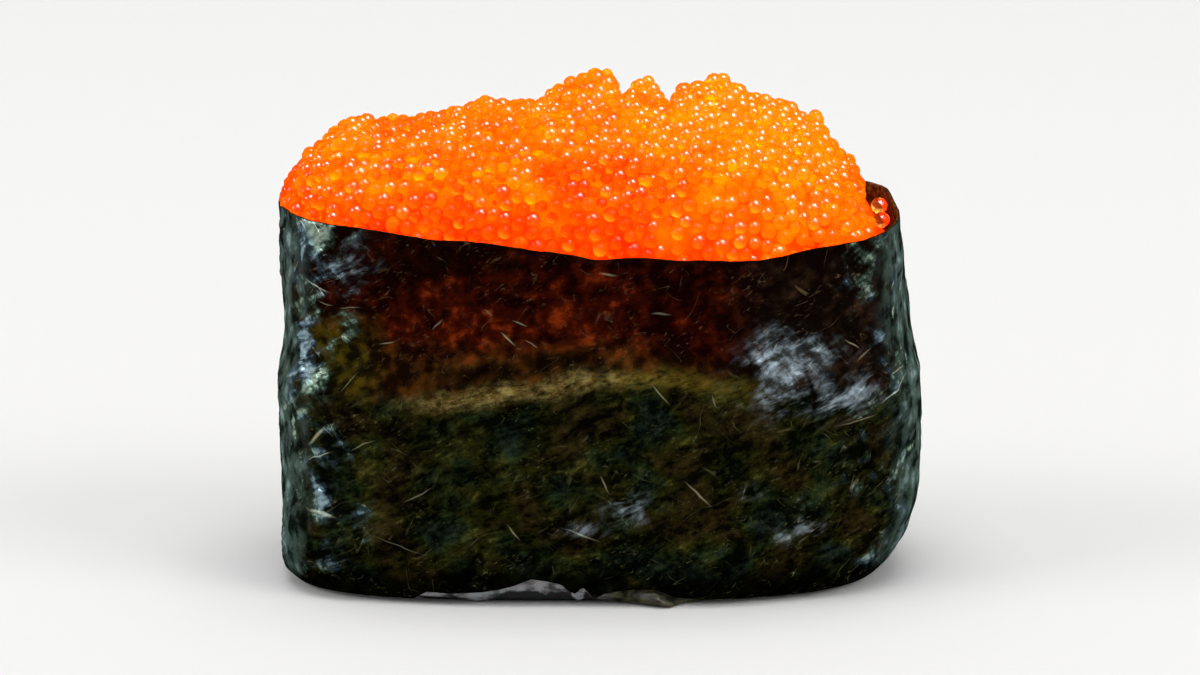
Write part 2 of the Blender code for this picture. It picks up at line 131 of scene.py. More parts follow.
# %% From arrays to a mesh
def grid_faces(rows, columns, close_rows=False, close_columns=False):
    """Quads between neighbours of a grid of points, which may close on itself either way."""
    row = np.arange(rows if close_rows else rows - 1)[:, None]
    column = np.arange(columns if close_columns else columns - 1)[None, :]
    next_row = (row + 1) % rows
    next_column = (column + 1) % columns
    corners = [row * columns + column, row * columns + next_column]
    corners += [next_row * columns + next_column, next_row * columns + column]
    return np.stack([c.ravel() for c in np.broadcast_arrays(*corners)], axis=1)


def make_piece(name, points, faces, finish, fields=None):
    """A smooth-shaded mesh object, with its material and its named fields, numbers or vectors, on it."""
    mesh = bpy.data.meshes.new(name)
    mesh.from_pydata(np.asarray(points, dtype=float), [], [list(map(int, face)) for face in faces])
    mesh.update()
    mesh.shade_smooth()
    mesh.materials.append(finish)
    for field, values in (fields or {}).items():
        values = np.ascontiguousarray(values, dtype=np.float32)
        kind, slot = ("FLOAT", "value") if values.ndim == 1 else ("FLOAT_VECTOR", "vector")
        mesh.attributes.new(field, kind, "POINT").data.foreach_set(slot, values.ravel())
    piece = bpy.data.objects.new(name, mesh)
    bpy.context.scene.collection.objects.link(piece)
    triangles = sum(len(face.vertices) - 2 for face in mesh.polygons)
    print(f"{name}: {len(mesh.vertices)} points, {triangles} triangles")
    return piece


# %% [markdown]
# ## Tools: finishes
#
# A finish is a tree of shader nodes. It could be drawn by hand in the shader editor, but sums and products
# of patterns read better written as sums and products. So a pattern is an object here: its + and * add Math
# nodes, and one method of the finish adds every other kind of node.

# %% Shader maths written as sums
class Field:
    """One number that changes over a surface: a socket, with + - * / and ** making Math nodes."""

    def __init__(self, shader, socket):
        self.shader = shader
        self.socket = socket

    def maths(self, operation, other=0.0, clamp=False):
        """A Math node on this number and another."""
        settings = {"operation": operation, "use_clamp": clamp}
        return self.shader.node("ShaderNodeMath", settings, {0: self, 1: other})

    def __add__(self, other):
        return self.maths("ADD", other)

    def __sub__(self, other):
        return self.maths("SUBTRACT", other)

    def __mul__(self, other):
        return self.maths("MULTIPLY", other)

    def __truediv__(self, other):
        return self.maths("DIVIDE", other)

    def __pow__(self, other):
        return self.maths("POWER", other)

    def __rsub__(self, other):
        return (self * -1.0).maths("ADD", other)

    __radd__ = __add__
    __rmul__ = __mul__

    def size(self):
        """Its distance from 0."""
        return self.maths("ABSOLUTE")

    def clamped(self):
        """Itself, held between 0 and 1."""
        return self.maths("ADD", clamp=True)

    def between(self, low, high):
        """0 below low, 1 above high and an S-curve between; a high under the low turns it round."""
        settings = {"interpolation_type": "SMOOTHSTEP", "clamp": True}
        inputs = {"Value": self, "From Min": low, "From Max": high}
        return self.shader.node("ShaderNodeMapRange", settings, inputs)


class Finish:
    """A material in the making: one Principled shader, and a single method that adds any other node."""

    def __init__(self, name, **sockets):
        self.material = bpy.data.materials.new(name)
        self.material.use_nodes = True
        self.tree = self.material.node_tree
        self.surface = self.tree.nodes["Principled BSDF"]
        for socket, value in sockets.items():
            self.surface.inputs[socket.replace("_", " ")].default_value = value

    def node(self, kind, settings=None, inputs=None, output=0):
        """Adds a node, sets it up, fills its sockets with values or links, and returns one output."""
        made = self.tree.nodes.new(kind)
        for setting, value in (settings or {}).items():
            setattr(made, setting, value)
        for socket, value in (inputs or {}).items():
            if isinstance(value, Field):
                self.tree.links.new(value.socket, made.inputs[socket])
            else:
                made.inputs[socket].default_value = value
        return Field(self, made.outputs[output])

    def drive(self, socket, value):
        """Links a Field to one of the Principled shader's sockets."""
        self.tree.links.new(value.socket, self.surface.inputs[socket])

    def place(self):
        """Object coordinates, which are places in the frame, in metres."""
        return self.node("ShaderNodeTexCoord", output="Object")

    def part(self, vector, axis):
        """One coordinate of a place."""
        return self.node("ShaderNodeSeparateXYZ", {}, {0: vector}, output=axis)

    def stretched(self, scale):
        """Object coordinates in millimetres, times scale along each axis."""
        inputs = {"Vector": self.place(), "Scale": tuple(s / MM for s in scale)}
        return self.node("ShaderNodeMapping", {"vector_type": "POINT"}, inputs)

    def field(self, name, output="Fac"):
        """A field that the mesh carries: a number from Fac, or a place from Vector."""
        return self.node("ShaderNodeAttribute", {"attribute_name": name}, output=output)

    def mapped(self, vector, scale, turn=0.0, shift=0.0):
        """A flat pattern's coordinates: shifted, turned in their plane, then multiplied by scale."""
        inputs = {"Vector": vector, "Location": (shift, shift, 0.0), "Rotation": (0.0, 0.0, turn)}
        inputs["Scale"] = (1.0 / scale[0], 1.0 / scale[1], 1.0)
        return self.node("ShaderNodeMapping", {"vector_type": "TEXTURE"}, inputs)

    def swayed(self, vector, scale, amount, detail=2.0):
        """A place pushed about by noise, so that what is drawn on it bends."""
        inputs = {"Vector": vector, "Scale": scale, "Detail": detail}
        sway = self.node("ShaderNodeTexNoise", {}, inputs, output="Color")
        inputs = {0: sway, 1: (amount, amount, 0.0), 2: vector}
        return self.node("ShaderNodeVectorMath", {"operation": "MULTIPLY_ADD"}, inputs)

    def grain(self, vector, detail=2.0, roughness=0.5):
        """Noise from 0 to 1."""
        inputs = {"Vector": vector, "Scale": 1.0, "Detail": detail, "Roughness": roughness}
        return self.node("ShaderNodeTexNoise", {}, inputs)

    def blend(self, share, first, second):
        """A colour between two others, by a share from 0 to 1."""
        settings = {"data_type": "RGBA", "clamp_factor": True}
        return self.node("ShaderNodeMix", settings, {0: share, 6: first, 7: second}, output=2)

    def bump(self, height, distance, strength=1.0):
        """Relief in the shading alone: the distance is how far out a height of 1 would stand."""
        inputs = {"Strength": strength, "Distance": distance, "Height": height}
        self.drive("Normal", self.node("ShaderNodeBump", {}, inputs))


def rgb(red, green, blue):
    """A colour given as screen values from 0 to 255, turned to the linear light that shaders work in."""
    screen = np.array([red, green, blue]) / 255.0
    linear = np.where(screen <= 0.04045, screen / 12.92, ((screen + 0.055) / 1.055) ** 2.4)
    return (*(float(v) for v in linear), 1.0)


# %% [markdown]
# ## The roll's own shape
#
# The seaweed is a band round a rounded oblong, a superellipse that leans and tucks in by its own amount on
# each side. These are the formulas and sizes that the solids were made from, so that what is dressed here
# lies on them; the fine hem line and the lean of the right end are this lesson's own. Only the shift that
# centres the roll is measured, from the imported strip.

# %% The strip's walls, rim and hem
SQUARENESS_LEFT = 3.5
SQUARENESS_RIGHT = 2.8
RIGHT_WALL = (27.3 * MM, 1.6 * MM, 5.0 * MM, 8.6 * MM)
LEFT_WALL = (26.9 * MM, 0.1 * MM, 1.9 * MM, 2.4 * MM)
FRONT_WALL = (15.3 * MM, 0.1 * MM, 2.3 * MM, 3.0 * MM)
BACK_WALL = (15.3 * MM, 0.5 * MM, 2.0 * MM, 2.8 * MM)
WIDEST_HEIGHT = 13.0 * MM
SEAWEED_THICKNESS = 0.35 * MM
STRIP_WIDTH = 32.1 * MM
RIM_DIP = 3.1 * MM
RIM_DIP_ANGLE = math.radians(-62.0)
RIM_DIP_REACH_RIGHT = math.radians(50.0)
RIM_DIP_REACH_LEFT = math.radians(72.0)
HEM_HEIGHT = 0.35 * MM
# How far rice lifts the hem along the front, in mm: (x, lift).
HEM_LINE = np.array([
    (-16.6, 0.0), (-14.6, 0.85), (-12.6, 0.72), (-9.7, 0.93), (-8.1, 1.22), (-6.9, 1.6), (-5.6, 2.15),
    (-4.5, 1.98), (-3.2, 1.68), (-2.4, 0.95), (-2.0, 0.8), (-1.4, 1.5), (-0.8, 0.8), (-0.4, 0.27),
    (0.4, 0.8), (1.6, 1.08), (3.2, 1.25), (4.9, 1.2), (6.5, 0.42), (9.2, 0.0),
])
OVERLAP = 8.0 * MM
OVERLAP_EASE = 6.0 * MM
SEAM_ANGLE = math.radians(68.0)
CLEARANCE = 0.35 * MM
FILLING_INSET = SEAWEED_THICKNESS + CLEARANCE


def half_size(wall, height):
    """A wall's distance from the middle: an elliptic tuck at the base, a square-law lean to the rim."""
    widest, lean, tuck, tuck_height = wall
    up = np.clip((height - WIDEST_HEIGHT) / (STRIP_WIDTH - WIDEST_HEIGHT), 0.0, None)
    under = np.clip(1.0 - height / tuck_height, 0.0, 1.0)
    return widest - lean * up**2 - tuck * (1.0 - np.sqrt(1.0 - under**2))


def half_sizes(angle, height):
    """Half length and half width of the plan, of the walls that a polar angle faces."""
    half_x = np.where(np.cos(angle) > 0.0, half_size(RIGHT_WALL, height), half_size(LEFT_WALL, height))
    half_y = np.where(np.sin(angle) > 0.0, half_size(BACK_WALL, height), half_size(FRONT_WALL, height))
    return half_x, half_y


def oblong(angle, half_x, half_y):
    """Polar radius of the superellipse |x/a|^n + |y/b|^n = 1."""
    power = np.where(np.cos(angle) > 0.0, SQUARENESS_RIGHT, SQUARENESS_LEFT)
    along = (np.abs(np.cos(angle)) / half_x) ** power
    across = (np.abs(np.sin(angle)) / half_y) ** power
    return (along + across) ** (-1.0 / power)


def rim_height(angle):
    """The strip's upper edge: level at the back and ends, dipped at the front, with two small ripples."""
    turn = turned(angle, RIM_DIP_ANGLE)
    reach = np.where(turn > 0.0, RIM_DIP_REACH_RIGHT, RIM_DIP_REACH_LEFT)
    ripple = 0.12 * MM * np.sin(9.0 * angle + 0.7) + 0.08 * MM * np.sin(17.0 * angle)
    return STRIP_WIDTH - RIM_DIP * np.exp(-(np.abs(turn / reach) ** 2.5)) + ripple


def hem_height(x, y):
    """The strip's lower edge: just clear of the table, lifted where rice pushes out at the front."""
    lift = np.interp(x, HEM_LINE[:, 0] * MM, HEM_LINE[:, 1] * MM)
    return HEM_HEIGHT + lift * smooth_step(-y, 6.0 * MM, 11.0 * MM)


def rice_height(x, y):
    """Where the rice stops against the strip: a low crown on the front, level at the back."""
    return 17.2 * MM + smooth_step(-y, 0.0, 10.0 * MM) * 2.6 * MM * bell(x, 3.0 * MM, 11.0 * MM)


def relief(angle, height, x, y):
    """How far the wall stands out: a shoulder over the rice's edge, a hollow above it, waves, a foot."""
    above = height - rice_height(x, y)
    shoulder = 0.10 * MM + 0.35 * MM * smooth_step(np.abs(y), 4.0 * MM, 11.0 * MM)
    hollow = smooth_step(above, 0.0, 5.0 * MM) * (1.0 - smooth_step(above, 6.0 * MM, 12.0 * MM))
    waves = 0.20 * MM * np.sin(5.0 * angle + 0.9 + height / (7.0 * MM))
    waves = waves + 0.12 * MM * np.sin(11.0 * angle - height / (4.0 * MM))
    foot = 0.5 * MM * bell(height, 4.0 * MM, 3.2 * MM) * smooth_step(-x, 19.0 * MM, 25.0 * MM)
    fade = smooth_step(height, 0.0, 5.0 * MM)
    return shoulder * bell(above, 0.0, 1.9 * MM) - 0.35 * MM * hollow + waves * fade + foot


def rim_tuck(angle, height):
    """How far the strip's right end leans in near its rim, most of all at the back corner."""
    corner = bell(turned(angle, math.radians(30.0)), 0.0, math.radians(34.0))
    return 1.3 * MM * corner * smooth_step(height, 23.0 * MM, 33.0 * MM)


def wall_point(angle, height, inset=0.0):
    """A point on the strip's outer face, or inset from it, as (x, y)."""
    half_x, half_y = half_sizes(angle, height)
    radius = oblong(angle, half_x - inset, half_y - inset) - rim_tuck(angle, height)
    radius = radius + relief(angle, height, radius * np.cos(angle), radius * np.sin(angle))
    return radius * np.cos(angle), radius * np.sin(angle)


def waist_point(angle):
    """The outer face at the roll's widest height, where the wall stands plumb."""
    return wall_point(angle, np.full_like(angle, WIDEST_HEIGHT))


def even_angles(lengths, start):
    """Polar angles at given distances along the roll's girth from the angle start, and the whole girth."""
    fine = start + np.linspace(0.0, 2.0 * FULL_TURN, 2881)
    x, y = waist_point(fine)
    run = np.concatenate([[0.0], np.cumsum(np.hypot(np.diff(x), np.diff(y)))])
    return np.interp(lengths, run, fine), run[1440]


girth = even_angles(np.zeros(1), SEAM_ANGLE)[1]
print("girth, mm:", round(girth / MM, 1))


# %% The plain sheet, and the shift that centres the roll
def sheet_point(run, share):
    """The strip's outer face: run along its length, share from hem to rim. Its end laps over its start."""
    angle = even_angles(run, SEAM_ANGLE)[0]
    low = hem_height(*waist_point(angle))
    height = low + share * (rim_height(angle) - low)
    x, y = wall_point(angle, height)
    lift = (SEAWEED_THICKNESS + CLEARANCE) * smooth_step(run, girth - OVERLAP_EASE, girth)
    outward = 1.0 + lift / np.hypot(x, y)
    return np.stack([x * outward, y * outward, height], axis=-1)


plain = sheet_point(*np.meshgrid(np.linspace(0.0, girth + OVERLAP, 400), np.linspace(0.0, 1.0, 60)))
strip_low, strip_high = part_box("seaweed")
shift = (np.array(strip_low) + np.array(strip_high) - plain.min(axis=(0, 1)) - plain.max(axis=(0, 1))) / 2.0
shift[2] = 0.0
print("shift, mm:", (shift / MM).round(2))

# %% [markdown]
# ## Seaweed
#
# Damp seaweed clings. It shows the grains of rice under its lower half and the eggs behind its upper half,
# and it creases where it was bent. The sheet is one closed ribbon: a fine outer face, a thin edge over the
# rim, and a coarser inner face, all on one grid. Its creases are of two kinds: crests where a noise changes
# sign, for the crumpled skin, and single straight folds, each a line with a roof-shaped relief, that catch
# the light as the real ones do. A cloth simulation could crumple it too, but not in the same places each
# time it is changed.

# %% The sheet's places, seen from the front
SHEET_COLUMNS = 600
OUTER_ROWS = 120
INNER_ROWS = 22
round_the_roll = np.linspace(0.0, girth, 2000)
front_run = np.interp(1.5 * math.pi, even_angles(round_the_roll, SEAM_ANGLE)[0], round_the_roll)
print("front middle, mm along the strip:", round(front_run / MM, 1))

# Patches on the front with a painted cool sheen and a glossier finish, in mm: (x, height, half length, half
# height), and a strength.
GLOSS_AND_SHEEN_PATCHES = (
    (14.3, 21.3, 2.1, 1.8, 0.9), (17.6, 20.6, 1.4, 1.3, 0.5), (20.8, 17.2, 2.2, 0.8, 0.75),
    (14.1, 17.7, 1.3, 1.7, 0.4), (17.2, 18.6, 6.0, 3.6, 0.32), (2.4, 8.6, 2.4, 1.4, 0.45),
    (-1.6, 6.6, 2.2, 0.9, 0.4), (16.4, 6.2, 2.6, 1.3, 0.4), (12.6, 9.8, 1.4, 0.9, 0.35),
    (-20.6, 28.4, 3.0, 2.6, 0.4),
)


# %% Normals and single folds
def outward_normals(grid):
    """Unit normals of a grid of points, from the cross product of its two slopes."""
    across = np.gradient(grid, axis=1)
    up = np.gradient(grid, axis=0)
    normal = np.cross(across, up)
    return normal / np.linalg.norm(normal, axis=-1, keepdims=True)


def folds(run, height, seed, count):
    """Single creases: along each random segment a roof, 1 - distance / width, fading at both ends."""
    draw = np.random.default_rng(seed)
    relief_sum = np.zeros_like(run)
    middles = draw.uniform([0.0, 0.0], [girth + OVERLAP, STRIP_WIDTH], (count, 2))
    ways = draw.normal(0.0, 0.55, count) + draw.choice([0.0, QUARTER_TURN], count, p=[0.7, 0.3])
    halves = draw.uniform(1.2, 4.5, count) * MM
    widths = draw.uniform(0.35, 0.9, count) * MM
    heights = draw.uniform(0.05, 0.20, count) * draw.choice([1.0, -0.8], count) * MM
    for (run_0, height_0), way, half, width, rise in zip(middles, ways, halves, widths, heights):
        along = (run - run_0) * math.cos(way) + (height - height_0) * math.sin(way)
        across = (height - height_0) * math.cos(way) - (run - run_0) * math.sin(way)
        across = across + 0.10 * along**2 / half
        roof = np.clip(1.0 - np.abs(across) / width, 0.0, 1.0)
        relief_sum += rise * roof * np.clip(1.0 - (along / half) ** 2, 0.0, 1.0)
    return relief_sum


# %% The crumpled skin
FOLD_COUNT = 170
# The relief is let into the wall by this much, so that its crests stand little past the solid's.
SKIN_DEPTH = 0.32 * MM


def crumple(points, run):
    """Relief of the damp sheet: crests of three sizes on a warped grid, folds, and bumps of rice and eggs."""
    warp = np.stack([noise(points, 6.0 * MM, seed) for seed in (3, 4, 5)], axis=1)
    bent = points + 1.6 * MM * warp
    above = points[:, 2] - rice_height(points[:, 0], points[:, 1])
    in_roe = smooth_step(above, -0.5 * MM, 1.5 * MM)
    creases = 0.14 * MM * ridges(bent * [1.0, 1.0, 1.5], 8.0 * MM, 11)
    creases += 0.11 * MM * ridges(bent * [1.2, 1.0, 1.0], 3.6 * MM, 12)
    creases += 0.06 * MM * ridges(bent, 1.7 * MM, 13)
    creases += 0.025 * MM * noise(bent, 0.8 * MM, 14)
    grains = 0.12 * MM * pebbles(bent * [0.7, 0.7, 1.2], 2.9 * MM, 21) * (1.0 - in_roe)
    eggs = 0.06 * MM * pebbles(points, 1.25 * MM, 22) * in_roe
    patch = 0.6 + 0.9 * smooth_step(noise(points, 9.0 * MM, 31), -0.25, 0.5)
    return creases * patch + folds(run, points[:, 2], 35, FOLD_COUNT) + grains + eggs - SKIN_DEPTH


# %% Where it shines and where the roe glows through
def shine(points, normals):
    """Where sheen is painted and the finish made glossier: along the bent corners, and in patches, listed for
    the front.
    """
    mottle = smooth_step(noise(points * [1.0, 1.0, 0.7], 3.2 * MM, 36), -0.45, 0.5)
    corner = (2.0 * np.abs(normals[:, 0] * normals[:, 1])) ** 2
    bends = corner * (0.3 + 0.7 * mottle) * (1.0 - 0.4 * smooth_step(points[:, 0], 0.0, 10.0 * MM))
    on_front = smooth_step(-points[:, 1], 6.0 * MM, 12.0 * MM)
    patches = smooth_step(noise(points, 7.0 * MM, 37), 0.1, 0.8) * 0.45 * (1.0 - on_front)
    for x, height, half_x, half_height, strength in GLOSS_AND_SHEEN_PATCHES:
        across = bell(points[:, 0], x * MM, half_x * MM)
        patches += strength * on_front * across * bell(points[:, 2], height * MM, half_height * MM)
    return bends, np.clip(patches, 0.0, 1.0)


def glow_through(points):
    """Where the painted glow of the roe behind is strongest: the middle and left of the front."""
    on_front = smooth_step(-points[:, 1], 6.0 * MM, 12.0 * MM)
    middle = bell(points[:, 0], -6.0 * MM, 14.0 * MM) * bell(points[:, 2], 22.0 * MM, 8.0 * MM)
    return 0.5 * (1.0 - on_front) + on_front * (0.1 + 0.9 * middle)


# %% The fields that the finish reads
# The inner face takes its patterns from a layer this far from the outer face's.
INSIDE_SHIFT = 20.0 * MM


def sheet_fields(points, outer, normals, bends_and_patches, run):
    """Height over the rice, place on the flat strip, which face it is, and where sheen and glow are painted.
    """
    bends, patches = bends_and_patches
    rows = len(points) // len(run)
    above = points[:, 2] - rice_height(points[:, 0], points[:, 1])
    side = np.repeat(np.arange(rows) >= OUTER_ROWS, len(run)) * INSIDE_SHIFT
    place = np.stack([np.tile(run - front_run, rows), points[:, 2], side], axis=1)
    # Where the ends turn sideways, for their painted grazing sheen.
    toward_front = 0.45 + 0.55 * smooth_step(-outer[..., 1].ravel(), -4.0 * MM, 5.0 * MM)
    sideways = smooth_step(np.abs(normals[..., 0].ravel()), 0.6, 0.97) * toward_front
    rest = np.zeros(len(points) - len(bends))
    return {
        "above_rice": above / MM,
        "sheet_place": place / MM,
        "inside": side / side.max(),
        "gloss_and_sheen_bends": np.concatenate([bends, rest]),
        "gloss_and_sheen_patches": np.concatenate([patches, rest]),
        "glow_through": glow_through(points),
        "sideways": np.concatenate([sideways, rest]),
    }


# %% The ribbon
RIM_ROUND = 0.06 * MM
HEM_ROUND = 0.04 * MM


def make_sheet(finish):
    """The ribbon: outer face from hem to rim, over the edge, and back down inside, closed at both ends."""
    share_out = np.linspace(0.0, 1.0, OUTER_ROWS) ** 1.15
    share_in = np.linspace(1.0, 0.0, INNER_ROWS)
    run = np.linspace(0.0, girth + OVERLAP, SHEET_COLUMNS)
    runs_out, shares_out = np.meshgrid(run, share_out)
    runs_in, shares_in = np.meshgrid(run, share_in)
    outer = sheet_point(runs_out, shares_out)
    inner = sheet_point(runs_in, shares_in)
    normals = outward_normals(outer)
    bends_and_patches = shine(outer.reshape(-1, 3), normals.reshape(-1, 3))
    edge_calm = smooth_step(1.0 - share_out, 0.0, 0.05) * smooth_step(share_out, 0.0, 0.03) * 0.85 + 0.15
    depth = crumple(outer.reshape(-1, 3), runs_out.ravel()).reshape(outer.shape[:2]) * edge_calm[:, None]
    outer = outer + depth[..., None] * normals
    # The rim is a clean cut that still wanders a little.
    tear = 0.05 * MM * noise(outer[-1], 1.6 * MM, 41) + 0.02 * MM * noise(outer[-1], 0.5 * MM, 42)
    outer[..., 2] += tear[None, :] * smooth_step(share_out, 0.9, 1.0)[:, None]
    inner[..., 2] += tear[None, :] * smooth_step(share_in, 0.9, 1.0)[:, None]
    soft = 0.26 * MM + 0.36 * MM * smooth_step(1.0 - share_in, 0.0, 0.12)
    rim_depth = depth[-1][None, :] * smooth_step(share_in, 0.85, 1.0)[:, None]
    inner = inner + (rim_depth - soft[:, None])[..., None] * -outward_normals(inner)
    rim = 0.5 * (outer[-1] + inner[0]) + [0.0, 0.0, RIM_ROUND]
    hem = 0.5 * (outer[0] + inner[-1]) - [0.0, 0.0, HEM_ROUND]
    loop = np.concatenate([outer, rim[None], inner, hem[None]])
    rows, columns = loop.shape[:2]
    faces = list(grid_faces(rows, columns, close_rows=True))
    start = np.arange(rows) * columns
    faces += [list(start), list(start[::-1] + columns - 1)]
    points = loop.reshape(-1, 3)
    fields = sheet_fields(points, outer, normals, bends_and_patches, run)
    return make_piece("seaweed_sheet", points + shift, faces, finish, fields)


# %% [markdown]
# ## The seaweed's finish
#
# The sheet is thin. Below the rice's edge it looks black, brown, olive and green, with painted shade
# darkening it along the hem; above it the roe's glow through the sheet is painted dark red. Along the edge
# itself a tan crest is painted as a highlight, under a band of painted shade. A painted picture could give
# all this, but patterns worked out in the shader stay sharp at any distance. The colours are built up in that
# order, and each step is a function that takes the patterns they share.

# %% Patterns that the colours share
def seaweed_patterns(damp):
    """Places on the strip, in mm from the front's middle and up from the table, and noises, broad to fine."""
    at = SimpleNamespace(flat=damp.field("sheet_place", "Vector"), above=damp.field("above_rice"))
    at.across = damp.part(at.flat, "X")
    at.low = damp.part(at.flat, "Y")
    at.near_front = at.across.size().between(31.0, 29.0) * (1.0 - damp.field("inside"))
    at.place = damp.swayed(at.flat, 0.25, 1.2, detail=0.0)
    at.blotch = damp.grain(damp.mapped(at.place, (0.24, 0.27)), detail=4.0, roughness=0.55)
    at.cloud = damp.grain(damp.mapped(at.place, (0.5, 0.55), 0.8, 3.0), detail=3.0, roughness=0.5)
    at.fleck = damp.grain(damp.mapped(at.place, (1.1, 1.3), 0.3, 7.0), detail=5.0, roughness=0.75)
    at.hue = damp.grain(damp.mapped(at.place, (0.2, 0.24), 0.0, 31.0), detail=2.0)
    at.slant = damp.grain(damp.mapped(at.place, (0.24, 0.9), 0.42, 17.0), detail=2.5, roughness=0.5)
    at.falling = damp.grain(damp.mapped(at.place, (0.3, 0.7), -0.9, 57.0), detail=3.0, roughness=0.55)
    winding = damp.swayed(at.flat, 0.3, 2.2, detail=1.0)
    at.fibre = damp.grain(damp.mapped(winding, (0.8, 2.6), 0.5, 27.0), detail=4.0, roughness=0.6)
    at.in_roe = (at.above + at.blotch * 6.0 - 3.0).between(-0.8, 1.6)
    return at


# %% Below and above the rice's edge
def rice_side(damp, at):
    """Below: black to brown, olive, green and dark teal as the hue drifts, and painted shade, black along the
    hem.
    """
    tone = at.blotch * 0.26 + at.cloud * 0.14 + at.slant * 0.26 + at.fibre * 0.18 + at.fleck * 0.38 - 0.11
    brown = damp.blend(tone.between(0.43, 0.62), rgb(5, 4, 2), rgb(47, 39, 16))
    olive = damp.blend(tone.between(0.43, 0.60), rgb(4, 5, 1), rgb(40, 41, 13))
    olive = damp.blend(tone.between(0.54, 0.66), olive, rgb(86, 82, 34))
    green = damp.blend(tone.between(0.44, 0.62), rgb(3, 6, 3), rgb(36, 50, 26))
    teal = damp.blend(tone.between(0.45, 0.64), rgb(3, 6, 5), rgb(36, 46, 40))
    colour = damp.blend(at.hue.between(0.40, 0.50), brown, olive)
    colour = damp.blend(at.hue.between(0.50, 0.57) * 0.75, colour, green)
    colour = damp.blend(at.hue.between(0.57, 0.65) * 0.75, colour, teal)
    # Painted shade: darker, down to black, towards the hem.
    return damp.blend((at.low + at.cloud * 3.0).between(6.6, 3.0) * 0.9, colour, rgb(1, 1, 0))


def roe_side(damp, at):
    """Above: the roe's glow through the sheet, painted dark red mottled at an egg's size, browner near the
    rice, fading to nearly black under the rim.
    """
    egg = damp.grain(damp.mapped(at.flat, (0.75, 0.75), 0.5, 43.0), detail=1.0)
    # The dark red is painted light: the glow of the roe behind, shining through the thin sheet.
    ember = at.blotch * 0.35 + egg * 0.35 + at.fleck * 0.3 + damp.field("glow_through") * 0.10 - 0.07
    red = damp.blend(ember.between(0.42, 0.56), rgb(17, 2, 1), rgb(52, 11, 3))
    red = damp.blend(ember.between(0.53, 0.65), red, rgb(118, 40, 10))
    brown = damp.blend(ember.between(0.44, 0.60), rgb(20, 9, 2), rgb(80, 52, 18))
    near_rice = (at.above + at.cloud * 3.0 + at.across * at.near_front * 0.12).between(5.4, 2.2) * 0.75
    olive = damp.blend(ember.between(0.42, 0.58), rgb(14, 13, 2), rgb(70, 62, 13))
    left = at.across.between(-17.0, -21.0) * at.across.between(-42.0, -34.0)
    red = damp.blend(near_rice, red, damp.blend(left, brown, olive))
    red = damp.blend(left * at.low.between(26.0, 22.0) * 0.6, red, olive)
    smoky = damp.blend(ember.between(0.42, 0.6), rgb(11, 7, 4), rgb(40, 34, 24))
    red = damp.blend(at.across.between(8.0, 16.0) * at.across.between(42.0, 34.0) * 0.8, red, smoky)
    # The painted glow fades to nearly black just under the rim.
    under_rim = (at.above + at.cloud * 3.0).between(13.0, 10.5) * 0.7 + 0.3
    return damp.blend(under_rim, rgb(11, 3, 1), red)


def crest_over(damp, at, colour):
    """The rice's edge: painted shade above it and a painted highlight along it, a soft, fibrous tan, fading
    to both sides.
    """
    fibre = damp.grain(damp.mapped(at.place, (0.9, 2.6), 0.2, 3.0), detail=5.0, roughness=0.7)
    on_crest = (at.across + 1.0).size().between(17.0, 9.0) * at.hue.between(0.70, 0.55)
    level = at.above + at.blotch * 2.4 - 1.0
    # Painted shade in a band just above the crest.
    crest_shade = (level - 2.1).size().between(1.3, 0.2) * on_crest * at.across.between(2.0, -4.0)
    colour = damp.blend(crest_shade * 0.85, colour, rgb(8, 4, 1))
    # The tan crest is a painted highlight.
    crest = level.size().between(1.3, 0.0) * on_crest * (fibre * 0.7 + at.cloud * 0.3).between(0.34, 0.62)
    tan = damp.blend(at.fleck.between(0.42, 0.6), rgb(112, 90, 42), rgb(158, 140, 82))
    tan = damp.blend(at.across.between(-2.0, 6.0), tan, rgb(116, 100, 34))
    return damp.blend(crest * (0.85 - at.across.between(2.0, 8.0) * 0.25), colour, tan)


# %% [markdown]
# ## The cool shine, painted
#
# Damp seaweed mirrors the studio wherever it bends: bluish white along the corners, and a soft blue-grey
# patch at the right of the front. True reflections alone would put it in other places, because the crumples
# aren't the real ones. So the sheen is painted: the plainest sheens are listed, as lens-shaped marks bent by
# noise, the others are scattered by noise along the bends, and on the ends, which turn away, a grazing sheen
# of teal is painted. The finish is also smoother and a little metallic there, so that they answer to the
# light.

# %% The painted cool shine
# The plainest painted sheens on the bent ends of the front: (across, height) in mm, degrees, then half
# length and half width in mm, and a strength.
PAINTED_SHEENS = (
    (-25.7, 29.3, 84, 2.0, 0.45, 1.2), (-26.0, 22.0, 12, 1.0, 0.80, 1.5), (-25.7, 20.2, 78, 1.5, 0.75, 1.1),
    (-23.7, 19.0, 28, 1.3, 0.50, 1.1), (-26.7, 14.3, 98, 1.9, 0.55, 1.2), (-26.1, 10.6, 95, 1.9, 0.65, 1.0),
    (-21.7, 28.2, 70, 1.9, 1.50, 0.35), (-29.0, 29.6, 90, 1.6, 1.00, 0.5), (-26.4, 25.2, 100, 2.2, 0.40, 0.4),
    (26.8, 23.6, 70, 1.3, 0.35, 0.8), (28.4, 19.6, 65, 1.1, 0.40, 0.9), (21.6, 16.8, 15, 2.2, 0.70, 0.6),
    (27.6, 14.0, 85, 1.4, 0.45, 0.45), (28.0, 11.4, 32, 1.2, 0.35, 0.6), (27.0, 7.6, 60, 1.6, 0.40, 0.4),
)


